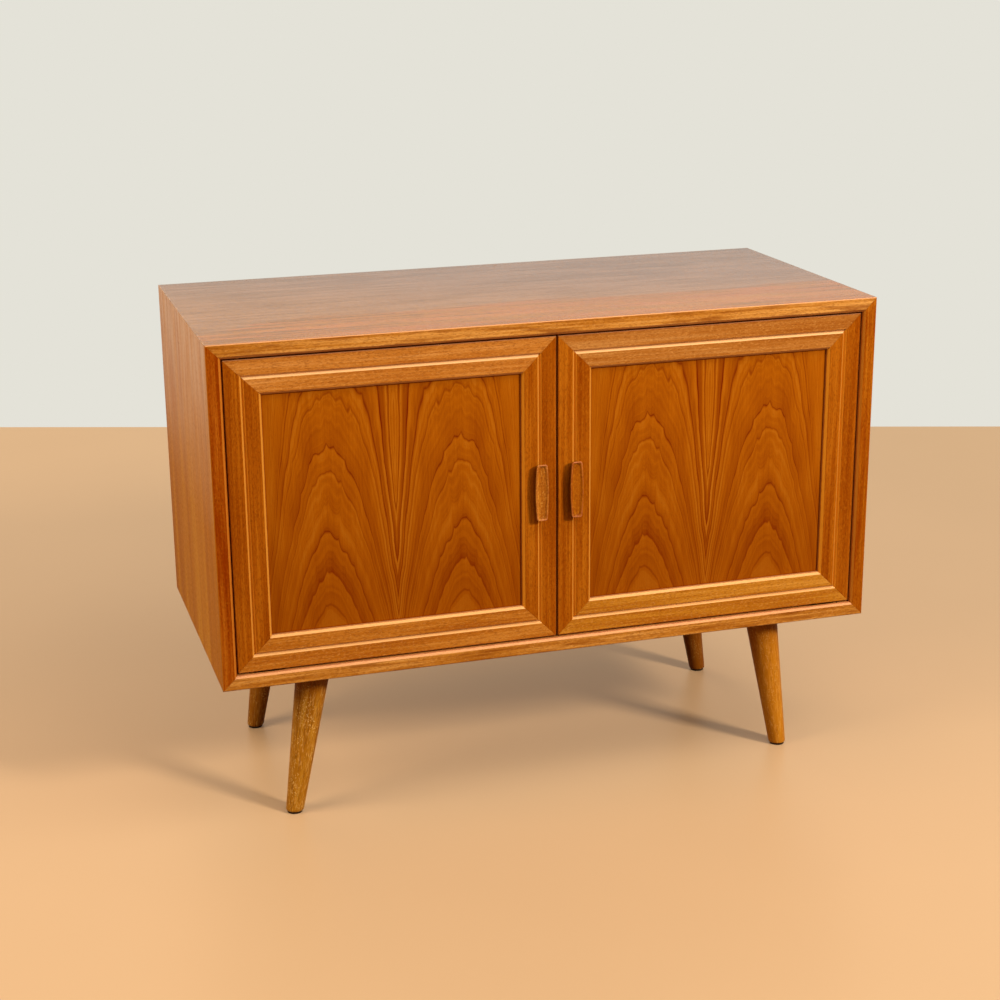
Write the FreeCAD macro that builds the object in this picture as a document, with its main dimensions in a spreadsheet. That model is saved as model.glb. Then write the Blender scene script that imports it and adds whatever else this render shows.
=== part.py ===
import FreeCAD
import Part

import math
import os
import re

import Sketcher
from FreeCAD import Placement, Rotation, Vector

os.makedirs("parts", exist_ok=True)

# Two-door sideboard on four splayed legs. Millimetres, Z up, X along the width, the doors face -Y.
# The origin is on the floor, in the middle of the object's box.

document = FreeCAD.newDocument("Sideboard")
sheet = document.addObject("Spreadsheet::Sheet", "Sizes")

drivingSizes = {
    # whole object
    "width": 900, "carcassDepth": 420, "carcassHeight": 450, "clearance": 208,
    # carcass boards and the solid lipping round their front edges
    "board": 19, "lipDepth": 20, "rimChamfer": 3.5, "arris": 1,
    "mitreCutter": 60, "splineAcross": 14, "splineAlong": 4, "splineInset": 11.5, "splineStop": 10,
    "rebateWidth": 9, "rebateDepth": 8, "backThickness": 6, "backPlay": 0.5,
    # divider and shelves
    "divider": 16, "dividerSetback": 25.5, "housing": 5,
    "shelf": 16, "shelfSetback": 46, "shelfBackPlay": 3, "shelfPlay": 0.5, "shelfTop": 441,
    "pinHole": 5, "pinHoleDepth": 7, "pinReach": 7, "pinPitch": 32, "pinFront": 76, "pinBack": 376,
    # doors
    "doorRecess": 4, "doorThickness": 20, "sideGap": 1.6, "centreGap": 2.4, "endGap": 2,
    "doorArris": 0.8, "outerBand": 20, "grooveWidth": 5.4, "grooveDepth": 3.2,
    "innerBandEnd": 43.2, "frameWidth": 46.7, "bevelDepth": 4,
    "panelRecess": 6.4, "panel": 8, "panelSeat": 8, "panelPlay": 1,
    "keyAcross": 24, "keyAlong": 18, "keyInset": 19, "keyThickness": 3, "keySetback": 12,
    # pulls
    "pullLength": 76, "pullMiddle": 18, "pullEnd": 14, "pullReach": 11, "pullInset": 22.7,
    "pullUndercut": 3, "pullRim": 1.5, "dishDepth": 2.4, "dishSlope": 2.6, "pullCorner": 2.5,
    "pullRimEdge": 0.45,
    "pullScrewPitch": 40, "pullScrew": 4, "pullScrewLength": 25, "pullHoleDepth": 6.5,
    # knife hinges
    "pivotInset": 19, "pivotSetback": 6.5, "leafWidth": 9, "leafTail": 4.5, "leafReach": 42,
    "leaf": 2.5, "leafRounding": 4.4, "leafScrewNear": 15, "leafScrewFar": 34, "hingePin": 5,
    "runningPlay": 0.05, "pinEndPlay": 0.2, "washer": 1.9, "washerWidth": 9,
    "fittingScrew": 3, "fittingScrewLength": 14,
    # magnetic catches
    "catchCentre": 40, "catchBlock": 26, "catchEar": 10, "earThickness": 3, "catchDepth": 20,
    "catchHeight": 12, "magnetWidth": 20, "magnetHeight": 7, "magnetDepth": 14, "poleReach": 0.5,
    "catchGap": 0.3, "strikeWidth": 30, "strikeHeight": 9, "strike": 1.6, "strikeDrop": 7,
    # legs and what carries them
    "legTop": 45, "legFoot": 23, "legEdge": 1.5, "soleEdge": 1, "legOver": 4, "legDrop": 8,
    "splay": 34, "legInset": 129, "frontLegSetback": 58, "backLegSetback": 65,
    "glide": 3, "glideWidth": 20, "plate": 3, "plateWidth": 66, "plateCorner": 8, "bossInset": 1,
    "plateScrewSpread": 26, "plateScrew": 4, "plateScrewLength": 14,
    "bolt": 8, "boltAbove": 14, "boltBelow": 30, "boltClearance": 12, "boltWell": 9,
    # back screws
    "backScrew": 3.5, "backScrewLength": 20,
    # a screw's blunt point, and what its hole leaves round it and beyond it
    "screwPoint": 0.3, "screwPlay": 0.1, "tipPlay": 0.5,
}
for row, (name, size) in enumerate(drivingSizes.items(), start=1):
    sheet.set("A%d" % row, name)
    sheet.set("B%d" % row, str(size))
    sheet.setAlias("B%d" % row, name)
document.recompute()


def cell(name):
    # the value of one cell of the sheet
    return float(sheet.get(name))


def sized(formula):
    # the formula with each sheet alias in its full form
    return re.sub(r"[A-Za-z]+", lambda word: word.group(0) if word.group(0) == "sqrt"
                  else "Sizes." + word.group(0), formula)


def bind(item, field, formula):
    item.setExpression(field, sized(formula))


# Places that many sub-parts share

frontY = (cell("pullReach") - cell("doorRecess") - cell("carcassDepth")) / 2
frontFormula = "(pullReach - doorRecess - carcassDepth) / 2"
backY = frontY + cell("carcassDepth")
middleZ = cell("clearance") + cell("carcassHeight") / 2
middleFormula = "clearance + carcassHeight / 2"
doorWidthFormula = "((width - 2 * board - 2 * sideGap - centreGap) / 2)"
doorHeightFormula = "(carcassHeight - 2 * board - 2 * endGap)"
doorCentreFormula = "((width - 2 * board - 2 * sideGap + centreGap) / 4)"
doorWidth = (cell("width") - 2 * cell("board") - 2 * cell("sideGap") - cell("centreGap")) / 2
doorCentre = (doorWidth + cell("centreGap")) / 2
doorTop = middleZ + cell("carcassHeight") / 2 - cell("board") - cell("endGap")
doorFront = frontY + cell("doorRecess")
doorBack = doorFront + cell("doorThickness")
innerX = cell("width") / 2 - cell("board")
ceilingZ = cell("clearance") + cell("carcassHeight") - cell("board")
floorZ = cell("clearance") + cell("board")
pivotX = innerX - cell("sideGap") - cell("pivotInset")
pivotY = doorFront + cell("pivotSetback")


# Helpers for sketches and bodies

tiny = 1e-6
drawnRadius = 10


def newBody(label):
    body = document.addObject("PartDesign::Body", label)
    body.Label = label
    return body


def newSketch(body, role, offset=None, turn=0, about=Vector(0, 1, 0)):
    # a sketch on one of the body's own origin planes, moved off it along its normal
    plane = [item for item in body.Origin.OriginFeatures if item.Role == role][0]
    sketch = body.newObject("Sketcher::SketchObject", body.Label + "Sketch")
    sketch.AttachmentSupport = (plane, [""])
    sketch.MapMode = "FlatFace"
    if turn:
        sketch.AttachmentOffset = Placement(Vector(), Rotation(about, turn))
    if offset:
        bind(sketch, "AttachmentOffset.Base.z", offset)
    return sketch


def pin(sketch, geometry, point, across, up):
    # holds a point of the sketch at formulas measured from its origin
    drawn = sketch.getPoint(geometry, point)
    for kind, formula, now in (("DistanceX", across, drawn.x), ("DistanceY", up, drawn.y)):
        number = sketch.addConstraint(Sketcher.Constraint(kind, -1, 1, geometry, point, now))
        bind(sketch, "Constraints[%d]" % number, formula)


def outline(sketch, corners):
    # closed outline through the corners, each a pair of formulas, drawn first as a regular polygon
    first = sketch.GeometryCount
    count = len(corners)
    turns = [2 * math.pi * i / count for i in range(count)]
    start = [Vector(math.cos(turn), math.sin(turn), 0) * drawnRadius for turn in turns]
    for i in range(count):
        sketch.addGeometry(Part.LineSegment(start[i], start[(i + 1) % count]), False)
    for i in range(count):
        follower = first + (i + 1) % count
        sketch.addConstraint(Sketcher.Constraint("Coincident", first + i, 2, follower, 1))
    for i, (across, up) in enumerate(corners):
        pin(sketch, first + i, 1, across, up)


def rectangle(sketch, left, bottom, right, top):
    outline(sketch, [(left, bottom), (right, bottom), (right, top), (left, top)])


def circle(sketch, across, up, diameter):
    number = sketch.addGeometry(Part.Circle(Vector(0, 0, 0), Vector(0, 0, 1), 1), False)
    pin(sketch, number, 3, across, up)
    size = sketch.addConstraint(Sketcher.Constraint("Diameter", number, 2.0))
    bind(sketch, "Constraints[%d]" % size, diameter)


def pad(body, sketch, length, midplane=False, backwards=False):
    feature = body.newObject("PartDesign::Pad", body.Label + "Pad")
    feature.Profile = sketch
    bind(feature, "Length", length)
    feature.Midplane = midplane
    feature.Reversed = backwards
    return feature


def pocket(body, sketch, length=None, midplane=False, backwards=False):
    # cuts the sketch out of the body, through it all where no length is given
    document.recompute()
    before = body.Shape.Volume
    feature = body.newObject("PartDesign::Pocket", body.Label + "Pocket")
    feature.Profile = sketch
    if length:
        bind(feature, "Length", length)
    else:
        feature.Type = 1
    feature.Midplane = midplane
    feature.Reversed = backwards
    document.recompute()
    if not body.Shape.Volume < before - tiny:
        raise RuntimeError(body.Label + ": a pocket cuts nothing")
    return feature


def countersink(body, sketch, diameter, backwards=False):
    # clearance holes right through the body, opened out for flat screw heads at the sketch
    document.recompute()
    before = body.Shape.Volume
    feature = body.newObject("PartDesign::Hole", body.Label + "Hole")
    feature.Profile = sketch
    document.recompute()
    bind(feature, "Diameter", diameter + " + screwPlay")
    feature.DepthType = "ThroughAll"
    feature.HoleCutType = "Countersink"
    bind(feature, "HoleCutDiameter", "2 * (" + diameter + ") + 2 * screwPlay")
    feature.HoleCutCountersinkAngle = 90
    feature.Reversed = backwards
    document.recompute()
    if not body.Shape.Volume < before - tiny:
        raise RuntimeError(body.Label + ": a hole cuts nothing")
    return feature


def place(item, x, y, z, turn=0, about=Vector(0, 1, 0)):
    # puts the sub-part at formulas, turned about one axis
    item.Placement = Placement(Vector(), Rotation(about, turn))
    for field, formula in (("x", x), ("y", y), ("z", z)):
        if formula != "0":
            bind(item, "Placement.Base." + field, formula)


def group(label, solids):
    # several equal pieces under one name, as separate solids
    item = document.addObject("Part::Feature", label)
    item.Label = label
    item.Shape = Part.makeCompound(solids)
    item.Placement = Placement()
    return item


def screwSolid(diameter, length, at, along):
    # flat-headed screw with its head's face at one point and its length along a direction
    radius = diameter / 2
    tip = length - diameter
    line = [(0, 0), (2 * radius, 0), (radius, radius), (radius, tip), (cell("screwPoint"), length),
            (0, length)]
    wire = Part.makePolygon([Vector(x, 0, z) for x, z in line] + [Vector(0, 0, 0)])
    solid = Part.Face(wire).revolve(Vector(), Vector(0, 0, 1), 360)
    solid.Placement = Placement(at, Rotation(Vector(0, 0, 1), along))
    return solid


# Mitred members: every frame and every carcass board is one of four round a rectangle.
# Each is drawn as the upper one, with its outer face up, then turned about Y to its side.

halfHeight = "carcassHeight / 2"
halfWidth = "width / 2"
doorHalfHeight = "(carcassHeight / 2 - board - endGap)"
doorHalfWidth = "(" + doorWidthFormula + " / 2)"
doorFrontFormula = "(" + frontFormula + " + doorRecess)"


def mitredMember(label, profile, span, reach, turn, x="0", y=frontFormula):
    # profile corners are (in from the outer face, back from the front plane)
    body = newBody(label)
    section = newSketch(body, "YZ_Plane")
    outline(section, [(back, reach + " - (" + inward + ")") for inward, back in profile])
    pad(body, section, span, midplane=True)
    ends = newSketch(body, "XZ_Plane")
    for side in ("", "-"):
        corner = side + "(" + span + ") / 2"
        far = side + "((" + span + ") / 2 + 1)"
        foot = side + "((" + span + ") / 2 - mitreCutter)"
        low = reach + " - mitreCutter"
        outline(ends, [(corner, reach), (far, reach), (far, low), (foot, low)])
    pocket(body, ends, midplane=True)
    place(body, x, y, middleFormula, turn)
    return body


def cornerSlots(body, span, reach, inset, across, along, start, depth):
    # a slot over each mitre for a spline or key, running back from a start plane
    slots = newSketch(body, "XZ_Plane", "-(" + start + ")")
    wide = "(" + across + " + " + along + ") / (2 * sqrt(2))"
    thin = "(" + across + " - " + along + ") / (2 * sqrt(2))"
    for side in ("", "-"):
        corners = []
        for first, second in (("+ " + wide, "- " + thin), ("- " + thin, "+ " + wide),
                              ("- " + wide, "+ " + thin), ("+ " + thin, "- " + wide)):
            corners.append((side + "((" + span + ") / 2 - " + inset + " " + first + ")",
                            reach + " - " + inset + " " + second))
        outline(slots, corners)
    return pocket(body, slots, depth)


def cornerTongues(halfSpan, halfRise, centreX, inset, across, along, start, depth):
    # the four splines or keys that fill such slots, one over each corner
    tongues = []
    for sideX in (-1, 1):
        for sideZ in (-1, 1):
            tongue = Part.makeBox(across, depth, along, Vector(-across / 2, 0, -along / 2))
            middle = Vector(centreX + sideX * (halfSpan - inset), start, middleZ + sideZ * (halfRise - inset))
            tongue.Placement = Placement(middle, Rotation(Vector(0, 1, 0), 45 * sideX * sideZ)).multiply(
                tongue.Placement)
            tongues.append(tongue)
    return tongues


# Carcass boards

boardSlotStart = "(lipDepth + splineStop)"
boardSlotLength = "(carcassDepth - lipDepth - rebateDepth - 2 * splineStop)"
rebateCentre = "(rebateWidth / 2 - board)"
backScrewAcross = 150
backScrewSpread = 350
backScrewRise = 103
pinLevel = "(shelfTop - shelf - pinHole / 2 - clearance - carcassHeight / 2)"
pinSteps = (-2, -1, 0, 1, 2)


def carcassBoard(label, span, reach, turn):
    profile = [("0", "lipDepth"), ("board", "lipDepth"), ("board", "carcassDepth - rebateDepth"),
               ("board - rebateWidth", "carcassDepth - rebateDepth"),
               ("board - rebateWidth", "carcassDepth"), ("0", "carcassDepth")]
    body = mitredMember(label, profile, span, reach, turn)
    cornerSlots(body, span, reach, "splineInset", "splineAcross", "splineAlong",
                boardSlotStart, boardSlotLength)
    return body


def backPilotHoles(body, reach, places):
    # for the back screws, from the rebate forwards
    holes = newSketch(body, "XZ_Plane", "-(carcassDepth - rebateDepth)")
    for across in places:
        circle(holes, str(across), reach + " + " + rebateCentre, "backScrew + screwPlay")
    pocket(body, holes, "backScrewLength - backThickness + tipPlay", backwards=True)


def dividerHousing(body):
    # stopped housing across the inner face
    sketch = newSketch(body, "XY_Plane", halfHeight + " - board")
    rectangle(sketch, "-divider / 2", "dividerSetback", "divider / 2", "carcassDepth - rebateDepth")
    pocket(body, sketch, "housing", backwards=True)


def topPanel():
    body = carcassBoard("top_panel", "width", halfHeight, 0)
    backPilotHoles(body, halfHeight, backScrewPlaces)
    dividerHousing(body)
    holes = newSketch(body, "XY_Plane", halfHeight + " - board")
    for side in ("", "-"):
        for ear in ("+", "-"):
            circle(holes, side + "(catchCentre " + ear + " (catchBlock + catchEar) / 2)",
                   catchFrontFormula + " + catchDepth / 2", "fittingScrew + screwPlay")
    pocket(body, holes, "fittingScrewLength - earThickness + tipPlay", backwards=True)


def bottomPanel():
    body = carcassBoard("bottom_panel", "width", halfHeight, 180)
    backPilotHoles(body, halfHeight, backScrewPlaces)
    dividerHousing(body)
    screws = newSketch(body, "XY_Plane", halfHeight)
    wells = newSketch(body, "XY_Plane", halfHeight)
    for side in ("", "-"):
        for legY in legLines:
            across = side + "(width / 2 - legInset)"
            circle(wells, across, legY, "boltClearance")
            for first in ("+", "-"):
                for second in ("+", "-"):
                    circle(screws, across + " " + first + " plateScrewSpread",
                           legY + " " + second + " plateScrewSpread", "plateScrew + screwPlay")
    pocket(body, screws, "plateScrewLength - plate + tipPlay")
    pocket(body, wells, "boltWell")


def sidePanel(label, turn):
    body = carcassBoard(label, "carcassHeight", halfWidth, turn)
    backPilotHoles(body, halfWidth, (-backScrewRise, backScrewRise))
    holes = newSketch(body, "XY_Plane", halfWidth + " - board")
    up = "-" if turn > 0 else ""
    for step in pinSteps:
        for pinY in ("pinFront", "pinBack"):
            circle(holes, up + "(%s + %d * pinPitch)" % (pinLevel, step), pinY, "pinHole")
    pocket(body, holes, "pinHoleDepth", backwards=True)


backScrewPlaces = (-backScrewSpread, -backScrewAcross, backScrewAcross, backScrewSpread)
legLines = ("frontLegSetback", "(carcassDepth - backLegSetback)")
catchFrontFormula = "(doorRecess + doorThickness + strike + catchGap + poleReach)"
topPanel()
bottomPanel()
sidePanel("side_panel_left", -90)
sidePanel("side_panel_right", 90)


# Solid lipping round the front

pivotInX = "(width / 2 - board - sideGap - pivotInset)"
pivotInY = "(doorRecess + pivotSetback)"


def lipping(label, span, reach, turn, carriesHinges):
    profile = [("arris", "0"), ("0", "arris"), ("0", "lipDepth"), ("board", "lipDepth"),
               ("board", "rimChamfer"), ("board - rimChamfer", "0")]
    body = mitredMember(label, profile, span, reach, turn)
    if carriesHinges:
        seats = newSketch(body, "XY_Plane", reach + " - board")
        holes = newSketch(body, "XY_Plane", reach + " - board")
        for side in ("", "-"):
            rectangle(seats, side + "(" + pivotInX + " - leafReach)", pivotInY + " - leafWidth / 2",
                      side + "(" + pivotInX + " + leafTail)", pivotInY + " + leafWidth / 2")
            for screw in ("leafScrewNear", "leafScrewFar"):
                circle(holes, side + "(" + pivotInX + " - " + screw + ")", pivotInY,
                       "fittingScrew + screwPlay")
        pocket(body, seats, "leaf", backwards=True)
        pocket(body, holes, "fittingScrewLength + tipPlay", backwards=True)


lipping("front_lipping_top", "width", halfHeight, 0, True)
lipping("front_lipping_bottom", "width", halfHeight, 180, True)
lipping("front_lipping_left", "carcassHeight", halfWidth, -90, False)
lipping("front_lipping_right", "carcassHeight", halfWidth, 90, False)


def mitreSplines():
    start = frontY + cell("lipDepth") + cell("splineStop")
    length = cell("carcassDepth") - cell("lipDepth") - cell("rebateDepth") - 2 * cell("splineStop")
    group("mitre_splines", cornerTongues(cell("width") / 2, cell("carcassHeight") / 2, 0, cell("splineInset"),
                                         cell("splineAcross"), cell("splineAlong"), start, length))


mitreSplines()


# Back, divider and shelves

def backPanel():
    body = newBody("back_panel")
    face = newSketch(body, "XZ_Plane")
    across = "(width / 2 - board + rebateWidth - backPlay)"
    rise = "(carcassHeight / 2 - board + rebateWidth - backPlay)"
    rectangle(face, "-" + across, "-" + rise, across, rise)
    pad(body, face, "backThickness", backwards=True)
    holes = newSketch(body, "XZ_Plane", "-backThickness")
    for x in backScrewPlaces:
        for up in ("", "-"):
            circle(holes, str(x), up + "(" + halfHeight + " + " + rebateCentre + ")", "backScrew")
    for rise in (-backScrewRise, backScrewRise):
        circle(holes, "0", str(rise), "backScrew")
        for side in ("", "-"):
            circle(holes, side + "(" + halfWidth + " + " + rebateCentre + ")", str(rise), "backScrew")
    countersink(body, holes, "backScrew", backwards=True)
    place(body, "0", frontFormula + " + carcassDepth - rebateDepth", middleFormula)


def backScrews():
    y = backY - cell("rebateDepth") + cell("backThickness")
    up = cell("carcassHeight") / 2 - cell("board") + cell("rebateWidth") / 2
    across = cell("width") / 2 - cell("board") + cell("rebateWidth") / 2
    places = [(x, side * up) for x in backScrewPlaces for side in (-1, 1)]
    places += [(x, side * backScrewRise) for x in (-across, 0, across) for side in (-1, 1)]
    group("back_screws", [screwSolid(cell("backScrew"), cell("backScrewLength"),
                                     Vector(x, y, middleZ + z), Vector(0, -1, 0)) for x, z in places])


def centreDivider():
    body = newBody("centre_divider")
    face = newSketch(body, "XZ_Plane")
    rise = "(carcassHeight / 2 - board + housing)"
    rectangle(face, "-divider / 2", "-" + rise, "divider / 2", rise)
    pad(body, face, "carcassDepth - rebateDepth - dividerSetback", backwards=True)
    for side, backwards in (("", False), ("-", True)):
        holes = newSketch(body, "YZ_Plane", side + "divider / 2")
        for step in pinSteps:
            for pinY in ("pinFront", "pinBack"):
                circle(holes, pinY + " - dividerSetback", "%s + %d * pinPitch" % (pinLevel, step), "pinHole")
        pocket(body, holes, "pinHoleDepth", backwards=backwards)
    ends = newSketch(body, "XZ_Plane", "-(carcassDepth - rebateDepth - dividerSetback)")
    for rise in (-backScrewRise, backScrewRise):
        circle(ends, "0", str(rise), "backScrew + screwPlay")
    pocket(body, ends, "backScrewLength - backThickness + tipPlay", backwards=True)
    place(body, "0", frontFormula + " + dividerSetback", middleFormula)


def shelf(label, side):
    body = newBody(label)
    plan = newSketch(body, "XY_Plane")
    across = "((width - 2 * board - divider) / 4 - shelfPlay)"
    deep = "(carcassDepth - rebateDepth - shelfSetback - shelfBackPlay)"
    rectangle(plan, "-" + across, "0", across, deep)
    blank = pad(body, plan, "shelf", backwards=True)
    document.recompute()
    front = ["Edge%d" % number for number, edge in enumerate(body.Shape.Edges, start=1)
             if abs(edge.BoundBox.YMax) < tiny and edge.BoundBox.XLength > cell("shelf")]
    rounding = body.newObject("PartDesign::Fillet", label + "Fillet")
    rounding.Base = (blank, front)
    bind(rounding, "Radius", "arris")
    place(body, side + "(width - 2 * board + divider) / 4", frontFormula + " + shelfSetback", "shelfTop")


def shelfPins():
    level = cell("shelfTop") - cell("shelf") - cell("pinHole") / 2
    length = cell("pinHoleDepth") + cell("pinReach")
    pins = []
    for wall, inwards in ((-innerX, 1), (-cell("divider") / 2, -1), (cell("divider") / 2, 1), (innerX, -1)):
        for back in (cell("pinFront"), cell("pinBack")):
            start = Vector(wall - inwards * cell("pinHoleDepth"), frontY + back, level)
            pins.append(Part.makeCylinder(cell("pinHole") / 2, length, start, Vector(inwards, 0, 0)))
    group("shelf_pins", pins)


backPanel()
backScrews()
centreDivider()
shelf("shelf_left", "-")
shelf("shelf_right", "")
shelfPins()


# Knife hinges: a leaf in the carcass, a leaf in the door, a pin and a washer between them

def knifeLeaf(label, pinHole, x, z, turn, about):
    body = newBody(label)
    plan = newSketch(body, "XY_Plane")
    rectangle(plan, "-leafTail", "-leafWidth / 2", "leafReach", "leafWidth / 2")
    plate = pad(body, plan, "leaf", backwards=True)
    document.recompute()
    tail = -cell("leafTail")
    corners = ["Edge%d" % number for number, edge in enumerate(body.Shape.Edges, start=1)
               if abs(edge.BoundBox.XMax - tail) < tiny and edge.BoundBox.ZLength > cell("leaf") / 2]
    rounding = body.newObject("PartDesign::Fillet", label + "Fillet")
    rounding.Base = (plate, corners)
    bind(rounding, "Radius", "leafRounding")
    eye = newSketch(body, "XY_Plane")
    circle(eye, "0", "0", pinHole)
    pocket(body, eye)
    screws = newSketch(body, "XY_Plane")
    for away in ("leafScrewNear", "leafScrewFar"):
        circle(screws, away, "0", "fittingScrew")
    countersink(body, screws, "fittingScrew")
    place(body, x, frontFormula + " + " + pivotInY, z, turn, about)


carcassEnds = {"top": "(clearance + carcassHeight - board)", "bottom": "(clearance + board)"}
doorEnds = {"top": "(clearance + carcassHeight - board - endGap)", "bottom": "(clearance + board + endGap)"}
acrossX = Vector(1, 0, 0)
acrossY = Vector(0, 1, 0)
upright = Vector(0, 0, 1)
# how each leaf is turned: its countersunk face looks into the gap between door and board
leafTurns = {("left", "down"): (180, acrossX), ("left", "up"): (0, upright),
             ("right", "down"): (180, acrossY), ("right", "up"): (180, upright)}


def hinges():
    for side, sign in (("left", "-"), ("right", "")):
        for end, carcassFace, doorFace in (("top", "down", "up"), ("bottom", "up", "down")):
            knifeLeaf("hinge_leaf_carcass_%s_%s" % (side, end), "hingePin", sign + pivotInX,
                      carcassEnds[end], *leafTurns[side, carcassFace])
            knifeLeaf("hinge_leaf_door_%s_%s" % (side, end), "hingePin + 2 * runningPlay",
                      sign + pivotInX, doorEnds[end], *leafTurns[side, doorFace])


def hingePinsAndWashers():
    pinLength = 2 * cell("leaf") + cell("endGap") - cell("pinEndPlay")
    pins = []
    washers = []
    for x in (-pivotX, pivotX):
        for face, into in ((ceilingZ, 1), (floorZ, -1)):
            start = Vector(x, pivotY, face + into * cell("leaf"))
            pins.append(Part.makeCylinder(cell("hingePin") / 2, pinLength, start, Vector(0, 0, -into)))
            start = Vector(x, pivotY, face)
            ring = Part.makeCylinder(cell("washerWidth") / 2, cell("washer"), start, Vector(0, 0, -into))
            hole = Part.makeCylinder(cell("hingePin") / 2 + cell("screwPlay"), cell("washer"), start,
                                     Vector(0, 0, -into))
            washers.append(ring.cut(hole))
    group("hinge_pins", pins)
    group("hinge_washers", washers)


hinges()
hingePinsAndWashers()


# Magnetic catches under the top

def catchHousing(label, side):
    body = newBody(label)
    plan = newSketch(body, "XY_Plane")
    rectangle(plan, "-catchBlock / 2", "0", "catchBlock / 2", "catchDepth")
    pad(body, plan, "catchHeight", backwards=True)
    ears = newSketch(body, "XY_Plane")
    rectangle(ears, "-(catchBlock / 2 + catchEar)", "earThickness", "catchBlock / 2 + catchEar",
              "catchDepth - earThickness")
    pad(body, ears, "earThickness", backwards=True)
    mouth = newSketch(body, "XZ_Plane")
    rectangle(mouth, "-magnetWidth / 2", "-strikeDrop - magnetHeight / 2", "magnetWidth / 2",
              "-strikeDrop + magnetHeight / 2")
    pocket(body, mouth, "magnetDepth")
    holes = newSketch(body, "XY_Plane", "-earThickness")
    for ear in ("", "-"):
        circle(holes, ear + "(catchBlock + catchEar) / 2", "catchDepth / 2", "fittingScrew")
    countersink(body, holes, "fittingScrew", backwards=True)
    place(body, side + "catchCentre", frontFormula + " + " + catchFrontFormula, carcassEnds["top"])


def catchMagnets():
    front = doorBack + cell("strike") + cell("catchGap")
    length = cell("magnetDepth") + cell("poleReach")
    low = ceilingZ - cell("strikeDrop") - cell("magnetHeight") / 2
    group("catch_magnets", [Part.makeBox(cell("magnetWidth"), length, cell("magnetHeight"),
                                         Vector(x - cell("magnetWidth") / 2, front, low))
                            for x in (-cell("catchCentre"), cell("catchCentre"))])


def carcassScrews():
    # the same small screws hold the carcass hinge leaves and the catches
    size = (cell("fittingScrew"), cell("fittingScrewLength"))
    screws = []
    for side in (-1, 1):
        for away in (cell("leafScrewNear"), cell("leafScrewFar")):
            x = side * (pivotX - away)
            screws.append(screwSolid(*size, Vector(x, pivotY, ceilingZ), Vector(0, 0, 1)))
            screws.append(screwSolid(*size, Vector(x, pivotY, floorZ), Vector(0, 0, -1)))
        y = doorBack + cell("strike") + cell("catchGap") + cell("poleReach") + cell("catchDepth") / 2
        for ear in (-1, 1):
            x = side * cell("catchCentre") + ear * (cell("catchBlock") + cell("catchEar")) / 2
            screws.append(screwSolid(*size, Vector(x, y, ceilingZ - cell("earThickness")), Vector(0, 0, 1)))
    group("carcass_screws", screws)


catchHousing("catch_left", "-")
catchHousing("catch_right", "")
catchMagnets()
carcassScrews()


# Doors: a moulded, mitred frame round a veneered panel

doorProfile = [
    ("doorArris", "0"), ("outerBand", "0"), ("outerBand + grooveWidth / 2", "grooveDepth"),
    ("outerBand + grooveWidth", "0"), ("innerBandEnd", "0"), ("frameWidth", "bevelDepth"),
    ("frameWidth", "panelRecess"), ("frameWidth - panelSeat", "panelRecess"),
    ("frameWidth - panelSeat", "panelRecess + panel"), ("frameWidth", "panelRecess + panel"),
    ("frameWidth", "doorThickness"), ("0", "doorThickness"), ("0", "doorArris")]


def frameMember(label, span, reach, turn, doorX):
    body = mitredMember(label, doorProfile, span, reach, turn, doorX, doorFrontFormula)
    cornerSlots(body, span, reach, "keyInset", "keyAcross", "keyAlong", "keySetback", "keyThickness")
    return body


def rail(label, turn, doorX, hingeEnd, carriesStrike, doorSide):
    body = frameMember(label, doorWidthFormula, doorHalfHeight, turn, doorX)
    pivot = "(" + doorHalfWidth + " - pivotInset)"
    seat = newSketch(body, "XY_Plane", doorHalfHeight)
    rectangle(seat, hingeEnd + "(" + pivot + " - leafReach)", "pivotSetback - leafWidth / 2",
              hingeEnd + "(" + pivot + " + leafTail)", "pivotSetback + leafWidth / 2")
    pocket(body, seat, "leaf")
    holes = newSketch(body, "XY_Plane", doorHalfHeight)
    for screw in ("leafScrewNear", "leafScrewFar"):
        circle(holes, hingeEnd + "(" + pivot + " - " + screw + ")", "pivotSetback",
               "fittingScrew + screwPlay")
    pocket(body, holes, "fittingScrewLength + tipPlay")
    if carriesStrike:
        pilots = newSketch(body, "XZ_Plane", "-doorThickness")
        middle = doorSide + "(catchCentre - " + doorCentreFormula + ")"
        for away in (" + ", " - "):
            circle(pilots, middle + away + "strikeWidth / 3",
                   doorHalfHeight + " + endGap - strikeDrop", "fittingScrew + screwPlay")
        pocket(body, pilots, "fittingScrewLength - strike + tipPlay", backwards=True)


def meetingStile(label, turn, doorX):
    body = frameMember(label, doorHeightFormula, doorHalfWidth, turn, doorX)
    holes = newSketch(body, "XZ_Plane", "-doorThickness")
    for up in ("", "-"):
        circle(holes, up + "pullScrewPitch / 2", doorHalfWidth + " - pullInset", "pullScrew")
    countersink(body, holes, "pullScrew", backwards=True)


def doorPanel(label, doorX):
    body = newBody(label)
    face = newSketch(body, "XZ_Plane")
    edge = " - frameWidth + panelSeat - panelPlay)"
    rectangle(face, "-(" + doorHalfWidth + edge, "-(" + doorHalfHeight + edge,
              "(" + doorHalfWidth + edge, "(" + doorHalfHeight + edge)
    pad(body, face, "panel", backwards=True)
    place(body, doorX, doorFrontFormula + " + panelRecess", middleFormula)


def doorKeys(label, centreX):
    group(label, cornerTongues(doorWidth / 2, doorTop - middleZ, centreX, cell("keyInset"), cell("keyAcross"),
                               cell("keyAlong"), doorFront + cell("keySetback"), cell("keyThickness")))


# Carved pull: bowed sides, undercut all round, and a dish with a thin rim in its face

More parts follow.
